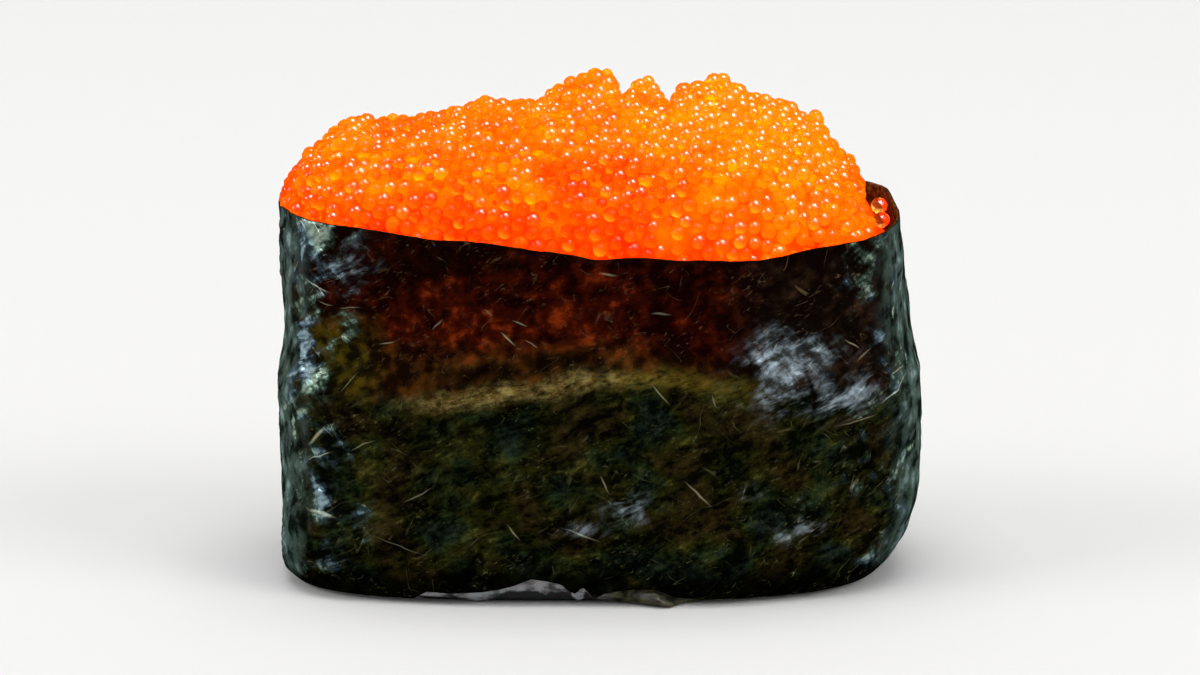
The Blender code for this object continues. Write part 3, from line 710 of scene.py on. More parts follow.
def stroke(damp, bent, x, height, degrees, half_length, half_width, strength):
    """A lens-shaped mark: 1 - the length of the place in the mark's own turned and stretched axes."""
    inputs = {"Vector": bent, "Location": (x, height, 0.0), "Rotation": (0.0, 0.0, math.radians(degrees))}
    inputs["Scale"] = (half_length, 0.85 * half_width, 1.0)
    own = damp.node("ShaderNodeMapping", {"vector_type": "TEXTURE"}, inputs)
    away = damp.node("ShaderNodeVectorMath", {"operation": "LENGTH"}, {0: own}, output="Value")
    return away.between(1.0, 0.2) * strength


def listed_marks(damp, place, marks, scale, sway):
    """The strongest of the listed marks at each place, all bent by one sway round half its amount."""
    bent = damp.swayed(place, scale, sway, detail=1.0)
    strongest = 0.0
    for x, height, *rest in marks:
        mark = stroke(damp, bent, x + 0.5 * sway, height + 0.5 * sway, *rest)
        strongest = mark.maths("MAXIMUM", strongest)
    return strongest


def shine_over(damp, at, colour):
    """Painted sheen along the bends, listed and scattered, broken by fine grain; a soft blue-grey one in
    patches.
    """
    bends, patches = damp.field("gloss_and_sheen_bends"), damp.field("gloss_and_sheen_patches")
    listed = listed_marks(damp, at.flat, PAINTED_SHEENS, 0.7, 1.1) * at.near_front
    scattered = (at.slant * 0.5 + at.falling * 0.5 - 0.5) * 3.2 + (at.fleck - 0.5) * 0.9
    scattered = (bends * 0.55 + scattered).between(0.10, 1.05) * bends.between(0.02, 0.4)
    lit = (at.slant * 0.25 + at.falling * 0.25 + at.fibre * 0.5).between(0.38, 0.62)
    at.bend_gloss = (scattered * (1.0 - listed * 0.5) + listed * lit * 1.1).clamped()
    broken = (at.cloud - 0.5) * 1.5 + (at.slant - 0.5) * 0.8 + (at.fibre - 0.5) * 1.1
    at.patch_gloss = (patches * 0.9 + broken).between(0.05, 0.95) * patches.between(0.02, 0.5)
    # The ends turn away: a painted grazing sheen, dark teal with pale upright streaks.
    upright = damp.grain(damp.mapped(at.place, (0.7, 0.36), -0.15, 33.0), detail=3.0, roughness=0.55)
    shade = at.cloud * 0.5 + upright * 0.4 + at.fleck * 0.1
    teal = damp.blend(shade.between(0.42, 0.55), rgb(14, 24, 21), rgb(78, 98, 91))
    teal = damp.blend(shade.between(0.54, 0.63), teal, rgb(138, 164, 162))
    colour = damp.blend(damp.field("sideways") * 0.85, colour, teal)
    # The bends' painted sheen: dull blue-green to pale blue-white.
    dull = damp.blend(at.hue.between(0.46, 0.54), rgb(50, 70, 58), rgb(46, 62, 72))
    pale = damp.blend(at.hue.between(0.44, 0.54), rgb(178, 200, 178), rgb(160, 188, 196))
    bright = at.bend_gloss.between(0.30, 0.95) * (at.fibre.between(0.38, 0.58) * 0.6 + 0.4)
    painted_sheen_colour = damp.blend(bright, dull, pale)
    colour = damp.blend(at.bend_gloss.between(0.0, 0.6) * 0.9, colour, painted_sheen_colour)
    # A soft, painted blue-grey sheen in the patches.
    shade = at.falling * 0.35 + at.slant * 0.35 + at.fleck * 0.3
    soft = damp.blend(shade.between(0.43, 0.58), rgb(54, 60, 60), rgb(160, 176, 186))
    soft = damp.blend(at.fibre.between(0.54, 0.40) * 0.45, soft, rgb(48, 50, 44))
    return damp.blend(at.patch_gloss * 0.8, colour, soft)


# %% [markdown]
# ## Threads and creases
#
# Dried seaweed is pressed from shreds, so it shows pale threads, hair-fine winding creases and pale specks.
# They are too flat to model. A thread is a thin listed mark, and a crease is drawn where a slow noise
# passes through its middle value, which is always a winding line. The creases' pale is a painted highlight,
# some listed threads are painted highlights too, and one crease is a mark of painted shade.

# %% Threads and creases
# The plainest threads on the front, listed as the sheens are; some of them are painted highlights.
THREADS = (
    (-7.4, 22.6, -47, 1.0, 0.14, 1.0), (-6.5, 23.9, -20, 0.8, 0.12, 0.7), (-5.5, 22.2, -27, 0.7, 0.10, 0.6),
    (-8.9, 24.8, -30, 0.6, 0.10, 0.4), (0.8, 28.0, -5, 1.0, 0.17, 0.5), (4.9, 18.1, -48, 1.4, 0.12, 0.7),
    (9.3, 17.4, -65, 0.7, 0.11, 0.6), (-13.4, 23.7, 40, 0.7, 0.14, 0.4), (5.3, 24.6, 0, 1.0, 0.17, 0.35),
    (8.1, 9.7, -45, 1.8, 0.14, 0.7), (0.4, 10.6, -60, 1.0, 0.13, 0.6), (-7.0, 6.4, -55, 1.0, 0.12, 0.5),
    (-19.6, 13.4, 25, 1.4, 0.12, 0.5), (-14.8, 9.5, 28, 1.5, 0.12, 0.45), (-16.6, 5.2, -19, 2.8, 0.09, 0.3),
    (-1.4, 6.3, -18, 1.8, 0.13, 0.5), (21.4, 21.6, -30, 1.0, 0.12, 0.8), (26.1, 18.8, 8, 1.5, 0.12, 0.9),
    (25.6, 17.4, 26, 2.8, 0.14, 0.9), (22.5, 20.6, 30, 1.2, 0.15, 0.5), (21.5, 15.2, 10, 2.2, 0.12, 0.6),
    (-24.2, 26.3, -17, 1.6, 0.11, 0.8), (-25.7, 31.2, -50, 0.9, 0.13, 0.8), (-18.0, 21.9, 8, 0.8, 0.12, 0.6),
    (-23.9, 13.8, 44, 1.5, 0.28, 1.0), (-23.8, 12.1, 23, 1.8, 0.12, 0.8), (-23.4, 7.3, -8, 2.0, 0.30, 0.8),
    (-21.2, 24.8, 5, 1.1, 0.09, 0.5), (-23.4, 25.0, -12, 0.9, 0.09, 0.5), (-20.8, 18.6, 55, 1.2, 0.10, 0.5),
)
# One crease's painted shade, listed as the threads are.
CREASE_SHADE = (17.2, 17.8, -84, 3.4, 0.42, 0.9)


def marks_over(damp, at, colour):
    """The listed threads, one crease's painted shade, winding creases with a painted highlight, and clusters
    of pale specks.
    """
    threads = listed_marks(damp, at.flat, THREADS, 0.5, 0.6) * at.near_front
    painted_crease_shade = listed_marks(damp, at.flat, (CREASE_SHADE,), 0.5, 0.6) * at.near_front
    colour = damp.blend(painted_crease_shade, colour, rgb(8, 5, 3))
    crease = None
    for turn, size, shift_by in ((0.5, 0.34, 5.0), (-0.6, 0.4, 9.0), (1.25, 0.28, 13.0)):
        drawn_out = damp.mapped(at.flat, (size * 0.4, size * 1.6), turn, shift_by)
        slow = damp.grain(drawn_out, detail=2.0, roughness=0.4)
        shown = damp.grain(damp.mapped(at.flat, (0.4, 0.9), turn, 3.0 * shift_by)).between(0.56, 0.70)
        line = (slow - 0.5).size().between(0.010, 0.001) * shown
        crease = line if crease is None else (crease + line).clamped()
    cluster = damp.grain(damp.mapped(at.flat, (0.3, 0.36), 0.2, 61.0), detail=2.0).between(0.48, 0.62)
    speck = damp.grain(damp.mapped(at.flat, (1.5, 3.4), 0.5, 19.0), detail=3.0, roughness=0.65)
    speck = speck.between(0.56, 0.76)
    gloss = (at.bend_gloss + at.patch_gloss).clamped()
    # The pale of the creases is a painted highlight, whiter where the sheen is painted.
    pale = damp.blend(at.in_roe, rgb(128, 126, 84), rgb(136, 112, 82))
    pale = damp.blend(gloss.between(0.0, 0.3), pale, rgb(200, 214, 200))
    clear = gloss * 0.7 + at.across.between(6.0, 18.0) * 0.14 + 0.16
    colour = damp.blend(crease * clear, colour, pale)
    colour = damp.blend(speck * (cluster * 0.35 + 0.02), colour, pale)
    at.marks = (threads + crease * 0.4).clamped()
    # Threads turn whiter where the sheen is painted.
    thread = damp.blend(gloss.between(0.0, 0.3), rgb(170, 164, 132), rgb(196, 212, 192))
    return damp.blend(threads * 0.7, colour, thread)


# %% The whole finish
def seaweed_finish():
    """Damp seaweed: its colours in order, an amber inner face, and a bump of wrinkles, facets and marks."""
    damp = Finish("damp_seaweed", Specular_IOR_Level=0.0)
    at = seaweed_patterns(damp)
    colour = damp.blend(at.in_roe, rice_side(damp, at), roe_side(damp, at))
    colour = crest_over(damp, at, colour)
    colour = shine_over(damp, at, colour)
    colour = marks_over(damp, at, colour)
    amber = damp.blend(at.fleck.between(0.4, 0.65), rgb(44, 34, 18), rgb(124, 92, 50))
    damp.drive("Base Color", damp.blend(damp.field("inside"), colour, amber))
    damp.drive("Metallic", at.bend_gloss * 0.4 + at.patch_gloss * 0.1)
    damp.drive("Roughness", 0.48 - at.bend_gloss * 0.14 + (at.fleck - 0.5) * 0.2)
    wrinkle = damp.grain(damp.mapped(at.place, (0.8, 0.9), -0.4, 23.0), detail=3.0, roughness=0.5)
    facet = {"Vector": damp.mapped(at.place, (0.42, 0.66), 1.0, 11.0), "Scale": 1.0}
    bowl = damp.node("ShaderNodeTexVoronoi", {"voronoi_dimensions": "2D"}, facet, output="Distance")
    damp.bump(wrinkle * 0.7 + bowl ** 2.0 * 0.6 + at.marks * 0.3, 0.45 * MM)
    return damp.material


sheet = make_sheet(seaweed_finish())

# %% [markdown]
# ## Roe
#
# Flying fish roe is thousands of eggs a little over a millimetre across. They are packed here the way they
# settle: thrown at random into the space under the heap's surface, then pushed apart until they hardly
# overlap. The heap is the one that the solid has, a dome on the oblong well with the same ten clumps.

# %% The heap's surface
CREST = 40.3 * MM
RIGHT_FALL = 3.2 * MM
DOME_POWER = 0.9
CLUMP_STRETCH = 1.7
# The clumps of the solid's heap, in mm: (x, y, rise, reach).
CLUMPS = (
    (-21.5, 0.0, 0.2, 3.0), (-15.6, 0.5, -1.9, 4.2), (-9.6, 1.0, 0.6, 1.8), (-4.4, 1.0, 0.2, 2.0),
    (-0.4, 0.5, 2.7, 2.3), (4.0, 0.5, 1.4, 1.3), (9.6, 0.5, 2.0, 3.1), (16.5, 0.0, 0.6, 2.6),
    (-6.0, -8.0, 0.6, 4.0), (8.0, -9.0, 0.5, 4.5),
)
# Smaller lumps and dents along the crest, a few eggs wide, that only the loose eggs show: (x, rise, reach).
SMALL_CLUMPS = (
    (-25.2, -0.4, 0.8), (-23.6, -0.9, 0.9), (-17.2, -1.0, 2.2), (-7.6, -0.4, 1.3), (-3.2, 0.7, 1.2),
    (-0.2, 0.2, 1.4), (1.0, 0.5, 0.5), (1.9, -0.4, 0.4), (3.9, 0.7, 1.3), (5.9, -0.5, 0.6),
    (7.0, 0.7, 0.7), (10.9, 0.5, 1.4), (14.9, 0.4, 1.2), (17.4, -0.5, 0.7), (18.6, 0.4, 0.7),
    (20.3, -0.8, 1.1),
)


def edge_height(angle):
    """Where the lowest eggs meet the strip: under the rim, lower at the right, heaped over it at the left."""
    right = bell(turned(angle, math.radians(12.0)), 0.0, math.radians(32.0))
    left = bell(turned(angle, math.radians(184.0)), 0.0, math.radians(24.0))
    return rim_height(angle) - 0.35 * MM - 1.7 * MM * right + 1.2 * MM * left


def heap_sizes(angle):
    """Half length and half width of the well that the roe fills, at the rim."""
    half_x, half_y = half_sizes(angle, np.full_like(angle, STRIP_WIDTH))
    return half_x - FILLING_INSET, half_y - FILLING_INSET


def ring_radius(angle, climb, half_x, half_y):
    """Polar radius of the ring of the heap at a climb: 0 at the strip, a quarter turn at the spine."""
    narrow = np.maximum(half_y * np.cos(climb), 0.01 * MM)
    return oblong(angle, half_x - half_y * (1.0 - np.cos(climb)), narrow)


def heap_height(x, y):
    """The heap's height over its plan: the ring through a point is found by halving, then domed."""
    angle = np.arctan2(y, x)
    away = np.hypot(x, y)
    half_x, half_y = heap_sizes(angle)
    low = np.zeros_like(x)
    high = np.full_like(x, QUARTER_TURN)
    for _ in range(18):
        middle = 0.5 * (low + high)
        outside = ring_radius(angle, middle, half_x, half_y) < away
        high = np.where(outside, middle, high)
        low = np.where(outside, low, middle)
    climb = 0.5 * (low + high)
    clumps = np.zeros_like(x)
    for clump_x, clump_y, rise, reach in np.array(CLUMPS) * MM:
        clumps = clumps + rise * bell(x, clump_x, reach) * bell(y, clump_y, reach * CLUMP_STRETCH)
    for clump_x, rise, reach in np.array(SMALL_CLUMPS) * MM:
        clumps = clumps + rise * np.exp(-(((x - clump_x) / reach) ** 4)) * bell(y, 0.5 * MM, 4.0 * MM)
    edge = edge_height(angle)
    crest = CREST - RIGHT_FALL * smooth_step(x, 18.0 * MM, 23.2 * MM) + clumps
    return edge + (crest - edge) * np.sin(climb) ** DOME_POWER


def heap_depth(points):
    """How deep points lie under the heap's surface, along its slope's normal, and that normal."""
    step = 0.05 * MM
    x, y = points[:, 0], points[:, 1]
    height = heap_height(x, y)
    slope_x = (heap_height(x + step, y) - height) / step
    slope_y = (heap_height(x, y + step) - height) / step
    normal = np.stack([-slope_x, -slope_y, np.ones_like(x)], axis=1)
    steep = np.linalg.norm(normal, axis=1)
    return (height - points[:, 2]) / steep, normal / steep[:, None]


# %% [markdown]
# ## Packing the eggs
#
# A physics simulation could drop the eggs into the well, but takes long for thousands. Here fifty rounds of
# a simple rule do it: eggs that overlap push each other apart, and eggs that leave the heap are put back.
# Each egg keeps its own small depth under the surface, which gives the heap its pebbled outline.

# %% Packing the eggs
EGG = 1.2 * MM
EGG_LAYER = 2.5 * MM
PACKED_SHARE = 0.70
PACKING_ROUNDS = 50
RIGHT_GAP = 2.6 * MM
THROWS = 90000


def push_apart(points, radii):
    """One round of settling: sorted along the roll, each egg is pushed off those that it overlaps."""
    order = np.argsort(points[:, 0])
    points, radii = points[order], radii[order]
    push = np.zeros_like(points)
    for step in range(1, 400):
        gap = points[step:] - points[:-step]
        if gap[:, 0].min() > 2.0 * radii.max():
            break
        far = np.maximum(np.linalg.norm(gap, axis=1), 1e-7)
        overlap = np.maximum(radii[step:] + radii[:-step] - far, 0.0)
        shove = gap * (0.25 * overlap / far)[:, None]
        push[step:] += shove
        push[:-step] -= shove
    back = np.empty_like(order)
    back[order] = np.arange(len(order))
    return (points + push)[back]


def keep_in_heap(points, radii, proud):
    """Puts eggs that left the heap back under its surface, and keeps them inside the strip."""
    depth, normal = heap_depth(points)
    points = points - normal * np.maximum(radii - proud - depth, 0.0)[:, None]
    points = points + normal * (0.5 * np.maximum(depth - EGG_LAYER, 0.0))[:, None]
    angle = np.arctan2(points[:, 1], points[:, 0])
    limit = np.hypot(*wall_point(angle, np.minimum(points[:, 2], STRIP_WIDTH), SEAWEED_THICKNESS))
    left = smooth_step(-points[:, 0], 20.0 * MM, 25.0 * MM)
    over = smooth_step(points[:, 2] - rim_height(angle), 0.0, 0.8 * MM)
    limit = limit - radii + (0.25 + 1.0 * left) * MM * over
    end = smooth_step(points[:, 0], 17.0 * MM, 21.5 * MM) * smooth_step(points[:, 2], 27.0 * MM, 30.0 * MM)
    end = end * smooth_step(points[:, 1], -9.0 * MM, -5.0 * MM)
    limit = limit - RIGHT_GAP * end
    away = np.hypot(points[:, 0], points[:, 1])
    points[:, :2] *= np.minimum(1.0, limit / away)[:, None]
    return points


def pack_eggs(seed):
    """Centres and radii of the eggs near the heap's surface: thrown into its shell, then settled."""
    draw = np.random.default_rng(seed)
    low = np.array([-26.6, -14.9, 24.0]) * MM
    high = np.array([26.0, 14.9, 43.5]) * MM
    thrown = draw.uniform(low, high, (THROWS, 3))
    angle = np.arctan2(thrown[:, 1], thrown[:, 0])
    well = ring_radius(angle, np.zeros_like(angle), *heap_sizes(angle))
    inside = np.hypot(thrown[:, 0], thrown[:, 1]) < well
    depth = heap_depth(thrown)[0]
    in_shell = inside & (depth > 0.0) & (depth < EGG_LAYER)
    shell_volume = in_shell.mean() * np.prod(high - low)
    count = int(PACKED_SHARE * shell_volume / (math.pi / 6.0 * EGG**3))
    kept = thrown[in_shell][:count]
    radii = 0.5 * EGG * draw.uniform(0.88, 1.16, count)
    proud = draw.uniform(-0.85, -0.15, count) * MM
    for _ in range(PACKING_ROUNDS):
        kept = push_apart(kept, radii)
        kept = keep_in_heap(kept, radii, proud)
    return kept, radii


egg_centres, egg_radii = pack_eggs(5)
print("packed eggs:", len(egg_centres))


# %% Eggs over the rim, and room for them
def spilled_eggs(seed):
    """Eggs along the rim of the left end, where the heap has spilled over it, in two staggered lines."""
    draw = np.random.default_rng(seed)
    angle = np.radians(np.linspace(150.0, 209.0, 21) + draw.uniform(-1.0, 1.0, 21))
    line = np.arange(len(angle)) % 2
    height = rim_height(angle) + (0.35 + 0.75 * line + draw.uniform(-0.15, 0.15, len(angle))) * MM
    x, y = wall_point(angle, np.full_like(angle, STRIP_WIDTH), (0.65 + 0.5 * line) * MM)
    return np.stack([x, y, height], axis=1), 0.5 * EGG * draw.uniform(0.9, 1.12, len(angle))


def clear_round(centres, radii, kept, distance):
    """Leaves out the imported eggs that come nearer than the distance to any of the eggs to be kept."""
    gap = np.linalg.norm(centres[:, None, :] - np.asarray(kept)[None, :, :], axis=2).min(axis=1)
    return centres[gap > distance], radii[gap > distance]


def tuck_in(points, radii):
    """Moves the eggs that lie under the rim inwards, clear of the dents in the strip."""
    angle = np.arctan2(points[:, 1], points[:, 0])
    under = smooth_step(rim_height(angle) - points[:, 2], 0.4 * MM, 1.6 * MM)
    inset = SEAWEED_THICKNESS + 0.6 * MM * under
    limit = np.hypot(*wall_point(angle, np.minimum(points[:, 2], STRIP_WIDTH), inset)) - radii
    share = np.where(under > 0.0, np.minimum(1.0, limit / np.hypot(points[:, 0], points[:, 1])), 1.0)
    return points * np.column_stack([share, share, np.ones_like(share)])


# Two eggs lie by themselves at the right end, against the bare inner wall.
LONE_CLEARANCE = 1.3 * MM
SPILL_CLEARANCE = 0.9 * MM
LONE_EGGS = np.array([(23.3, -5.2, 31.9), (23.4, -6.3, 30.9)]) * MM
LONE_RADIUS = 0.68 * MM
spilled, spilled_radii = spilled_eggs(7)
egg_centres, egg_radii = clear_round(egg_centres, egg_radii, LONE_EGGS, LONE_CLEARANCE)
egg_centres, egg_radii = clear_round(egg_centres, egg_radii, spilled, SPILL_CLEARANCE)
egg_centres = np.vstack([egg_centres, spilled])
egg_radii = np.concatenate([egg_radii, spilled_radii])
egg_centres = tuck_in(egg_centres, egg_radii)
egg_depths, egg_normals = heap_depth(egg_centres)
egg_depths[-len(spilled):] = 0.0
middle_depths = (np.percentile(egg_depths, [5, 50, 95]) / MM).round(2)
print("eggs:", len(egg_centres), "depth of middles, mm:", middle_depths)


# %% [markdown]
# ## The eggs themselves
#
# An egg is a drop of orange jelly in a thin skin. What the eye reads is a saturated body, a white glint on
# the wet skin, and in some eggs a golden spot on the far side, where the light that entered comes together.
# True caustics would take very long to render, so the spot is painted into the colour and the glow, from a
# field on the mesh. Each egg also glows a little, painted light for the light scattered through the heap, and
# the eggs are painted yellower towards the crown and at the ends. The outermost eggs are see-through, in two
# tints, and the ones below them are not and are a redder copy that glows more, painted shade and glow, which
# keeps the heap bright and the render quick.

# %% Eggs as meshes
def ball_template():
    """A ball of 80 faces with unit radius: its points and faces."""
    ball = bmesh.new()
    bmesh.ops.create_icosphere(ball, subdivisions=2, radius=1.0)
    points = np.array([v.co[:] for v in ball.verts])
    faces = np.array([[v.index for v in f.verts] for f in ball.faces])
    ball.free()
    return points, faces


def random_turns(draw, count):
    """Random rotations, as matrices, from the QR factors of random squares."""
    turns = np.linalg.qr(draw.normal(size=(count, 3, 3)))[0]
    return turns * np.sign(np.linalg.det(turns))[:, None, None]


# %% Many eggs as one mesh
# The way from an egg's middle to its painted glow, and how much a ball of flat faces is swelled to fill a
# round one.
GLOW_WAY = np.array([-0.40, -0.35, -0.85])
BALL_SWELL = 1.04


def make_eggs(name, centres, radii, finish, seed):
    """Eggs as one mesh: each is a slightly uneven ball, with its own tint and the field for its painted inner
    glow.
    """
    draw = np.random.default_rng(seed)
    ball, ball_faces = ball_template()
    count = len(centres)
    turns = random_turns(draw, count)
    stretch = draw.uniform(0.95, 1.05, (count, 1, 3))
    shape = np.einsum("nij,kj->nki", turns, ball) * stretch
    points = centres[:, None, :] + shape * (radii * BALL_SWELL)[:, None, None]
    faces = ball_faces[None] + (np.arange(count) * len(ball))[:, None, None]
    bright = draw.uniform(0.0, 1.0, count)
    strength = 0.25 + 0.75 * smooth_step(bright, 0.76, 0.86)
    glow = np.clip(shape @ GLOW_WAY, 0.0, 1.0) ** 2 * strength[:, None]
    tint = np.repeat(draw.uniform(0.0, 1.0, count), len(ball))
    wet = np.repeat(draw.uniform(0.0, 1.0, count), len(ball))
    fields = {"tint": tint, "glow": glow.ravel(), "wet": wet}
    return make_piece(name, points.reshape(-1, 3) + shift, faces.reshape(-1, 3), finish, fields)


# %% The finish of an egg
def roe_finish(name, through, low_colour, high_colour, glow_strength):
    """An egg: orange, as see-through as asked. Its wet skin glints, mostly on the crown and at the right."""
    egg = Finish(
        name,
        IOR=1.12,
        Roughness=0.1,
        Specular_IOR_Level=0.1,
        Transmission_Weight=through,
        Subsurface_Weight=0.5,
        Subsurface_Scale=0.6 * MM,
        Coat_Roughness=0.2,
        Coat_IOR=1.36,
        Emission_Strength=glow_strength,
    )
    egg.surface.inputs["Subsurface Radius"].default_value = (1.0, 0.35, 0.08)
    tint, glow, wet = egg.field("tint"), egg.field("glow"), egg.field("wet")
    across = egg.part(egg.place(), "X") / MM
    height = egg.part(egg.place(), "Z") / MM
    drift = egg.grain(egg.stretched((0.3, 0.3, 0.3)), detail=3.0, roughness=0.6)
    # Painted light: yellower towards the crown and at both ends, with a random drift.
    ends = across.between(2.0, 16.0) * 0.6 + across.between(-14.0, -24.0) * 0.3
    painted_light_and_drift = height.between(33.0, 40.0) * 0.8 + ends + (drift - 0.5) * 1.4
    colour = egg.blend(painted_light_and_drift.clamped(), low_colour, high_colour)
    colour = egg.blend(tint.between(0.7, 1.0) * 0.25, colour, rgb(255, 180, 14))
    colour = egg.blend(tint.between(0.3, 0.0) * 0.2, colour, rgb(255, 76, 2))
    # The golden spot of gathered light is painted into the colour.
    egg.drive("Base Color", egg.blend(glow * 0.9, colour, rgb(255, 222, 50)))
    # The emission is a painted glow, standing for light scattered through the heap.
    lit = egg.blend(painted_light_and_drift.clamped(), rgb(255, 28, 0), rgb(255, 112, 0))
    egg.drive("Emission Color", egg.blend(glow, lit, rgb(255, 215, 30)))
    egg.drive("Coat Weight", (wet + painted_light_and_drift * 0.6).between(0.72, 1.0))
    return egg.material


# %% The heap, in three depths of colour
SURFACE_DEPTH = 1.2 * MM
surface_eggs = egg_depths < SURFACE_DEPTH
lot = np.random.default_rng(8).uniform(size=len(egg_centres))
clear_finish = roe_finish("clear_roe", 0.85, rgb(250, 104, 1), rgb(250, 182, 6), 0.34)
amber_finish = roe_finish("amber_roe", 0.5, rgb(250, 86, 0), rgb(250, 162, 4), 0.38)
# The deep eggs are a redder copy with more glow: painted shade and painted glow for roe lit through other
# eggs.
deep_finish = roe_finish("deep_roe", 0.0, rgb(250, 68, 0), rgb(250, 132, 2), 0.46)
lone_finish = roe_finish("lone_roe", 0.97, rgb(255, 150, 50), rgb(255, 186, 110), 0.08)
lone_finish.node_tree.nodes["Principled BSDF"].inputs["IOR"].default_value = 1.33
clear, amber, deep = surface_eggs & (lot < 0.5), surface_eggs & (lot >= 0.5), ~surface_eggs
clear_eggs = make_eggs("roe_eggs_clear", egg_centres[clear], egg_radii[clear], clear_finish, 61)
amber_eggs = make_eggs("roe_eggs_amber", egg_centres[amber], egg_radii[amber], amber_finish, 62)
deep_eggs = make_eggs("roe_eggs_deep", egg_centres[deep], egg_radii[deep], deep_finish, 63)
lone_eggs = make_eggs("roe_eggs_lone", LONE_EGGS, np.full(len(LONE_EGGS), LONE_RADIUS), lone_finish, 64)


# %% [markdown]
# ## The mass under the eggs
#
# Between the surface eggs one sees more roe. Filling the whole well with eggs would only slow the render,
# so one smooth body lies a little under the heap's surface, and its colour and emission paint the glow of
# deep roe in the light, yellower higher up.

# %% The mass of roe under the surface eggs
CORE_FOOT = 21.4 * MM
SKIRT_INSET = FILLING_INSET + 0.45 * MM
SKIRT_DROP = 1.6 * MM


def film_depth(angle, climb):
    """How deep the mass lies under the heap: shallow low on the front, where the eggs sink in their film."""
    front = smooth_step(-np.sin(angle), -0.1, 0.4) * smooth_step(-np.cos(angle), -0.98, -0.7)
    rise = 0.8 * front * (1.0 - smooth_step(climb, 0.35, 1.0))
    return (1.7 - rise + 0.6 * smooth_step(climb, 0.9, 1.3)) * MM


def make_core(finish):
    """The heap's body: its surface moved inwards along its normals, and a skirt down to the rice."""
    columns, rings = 160, 30
    angle = np.linspace(0.0, FULL_TURN, columns, endpoint=False)
    climb = np.linspace(0.0, QUARTER_TURN * 0.985, rings)
    angles, climbs = np.meshgrid(angle, climb)
    half_x, half_y = heap_sizes(angles)
    depth = film_depth(angles, climbs)
    radius = ring_radius(angles, climbs, half_x - 2.0 * depth, half_y - depth)
    x, y = radius * np.cos(angles), radius * np.sin(angles)
    flat = np.stack([x.ravel(), y.ravel(), np.zeros(x.size)], axis=1)
    height = heap_height(flat[:, 0], flat[:, 1])
    steep = 1.0 / heap_depth(flat)[1][:, 2]
    dome = np.stack([x, y, (height - depth.ravel() * steep).reshape(x.shape)], axis=-1)
    skirt = []
    bottom = rice_height(*waist_point(angle)) + CLEARANCE
    top = np.minimum(dome[0, :, 2], edge_height(angle)) - SKIRT_DROP
    for share in (0.0, 0.5, 1.0):
        level = bottom + share * (top - bottom)
        wall_x, wall_y = wall_point(angle, level, SKIRT_INSET)
        skirt.append(np.stack([wall_x, wall_y, level], axis=-1))
    loop = np.concatenate([np.array(skirt), dome])
    rows = len(loop)
    points = np.vstack([loop.reshape(-1, 3), [[0.0, 0.0, CORE_FOOT]]])
    foot, last = len(points) - 1, (rows - 1) * columns
    ring = np.arange(columns)
    faces = list(grid_faces(rows, columns, close_columns=True))
    faces += [[foot, (i + 1) % columns, i] for i in ring]
    # The top is a narrow loop along the spine: its two sides are bridged straight across.
    half = columns // 2
    faces += [[last, last + 1, last + columns - 1], [last + half - 1, last + half, last + half + 1]]
    between = range(1, half - 1)
    faces += [[last + i, last + i + 1, last + columns - i - 1, last + columns - i] for i in between]
    return make_piece("roe_core", points + shift, faces, finish)


def core_finish():
    """Roe seen between eggs: deep orange with a painted glow, yellower higher up, mottled at the size of an
    egg.
    """
    mass = Finish("roe_mass", Roughness=0.7, Specular_IOR_Level=0.0, Emission_Strength=0.62)
    mottle = mass.grain(mass.stretched((0.8, 0.8, 0.8)), detail=2.0)
    drift = mass.grain(mass.stretched((0.3, 0.3, 0.3)), detail=3.0, roughness=0.6)
    height = mass.part(mass.place(), "Z") / MM
    # Painted light: yellower higher up, with a random drift and mottle.
    painted_light_and_drift = (height.between(30.0, 40.0) * 0.8 + (drift - 0.5) * 1.8 + mottle * 0.4).clamped()
    mass.drive("Base Color", mass.blend(painted_light_and_drift, rgb(255, 66, 0), rgb(255, 134, 4)))
    mass.drive("Emission Color", mass.blend(painted_light_and_drift, rgb(255, 40, 0), rgb(255, 100, 2)))
    mass.bump(mottle, 0.3 * MM)
    return mass.material


roe_core = make_core(core_finish())

# %% [markdown]
# ## Rice
#
# Only slivers of rice show, under the lifted hem, and the underside if the roll is picked up. Grains packed
# all through would never be seen, so a pressed block carries one layer of them. Each is a bent, blunt ended
# spindle of a hundred faces or so, laid flat under the block.

# %% The pressed block
BLOCK_FOOT = 0.75 * MM
BLOCK_PEAK = 21.0 * MM
BLOCK_ROUND = 1.0 * MM


def make_block(finish):
    """The block: rings of points up the strip's inner face, a fan underneath and a low peak on top."""
    columns = 120
    angle = even_angles(np.linspace(0.0, girth, columns, endpoint=False), 0.0)[0]
    top = rice_height(*waist_point(angle))
    rings = []
    for share in np.linspace(0.0, 1.0, 10):
        level = BLOCK_FOOT + share * (top - BLOCK_FOOT)
        rounding = BLOCK_ROUND * (1.0 - smooth_step(level, 0.7 * MM, 4.0 * MM))
        x, y = wall_point(angle, level, FILLING_INSET + rounding)
        rings.append(np.stack([x, y, level], axis=-1))
    loop = np.array(rings)
    points = np.vstack([loop.reshape(-1, 3), [[0.0, 0.0, BLOCK_FOOT], [0.0, 0.0, BLOCK_PEAK]]])
    rows = len(loop)
    foot, peak = len(points) - 2, len(points) - 1
    ring = np.arange(columns)
    faces = list(grid_faces(rows, columns, close_columns=True))
    faces += [[foot, (i + 1) % columns, i] for i in ring]
    faces += [[peak, (rows - 1) * columns + i, (rows - 1) * columns + (i + 1) % columns] for i in ring]
    return make_piece("rice_block", points + shift, faces, finish)


# %% The grains
GRAIN_LENGTHS = (5.0, 6.4)
GRAIN_THICKNESS = 2.2 * MM
GRAIN_HALF_WIDTH = 1.4 * MM
GRAIN_SPACING = 2.5 * MM


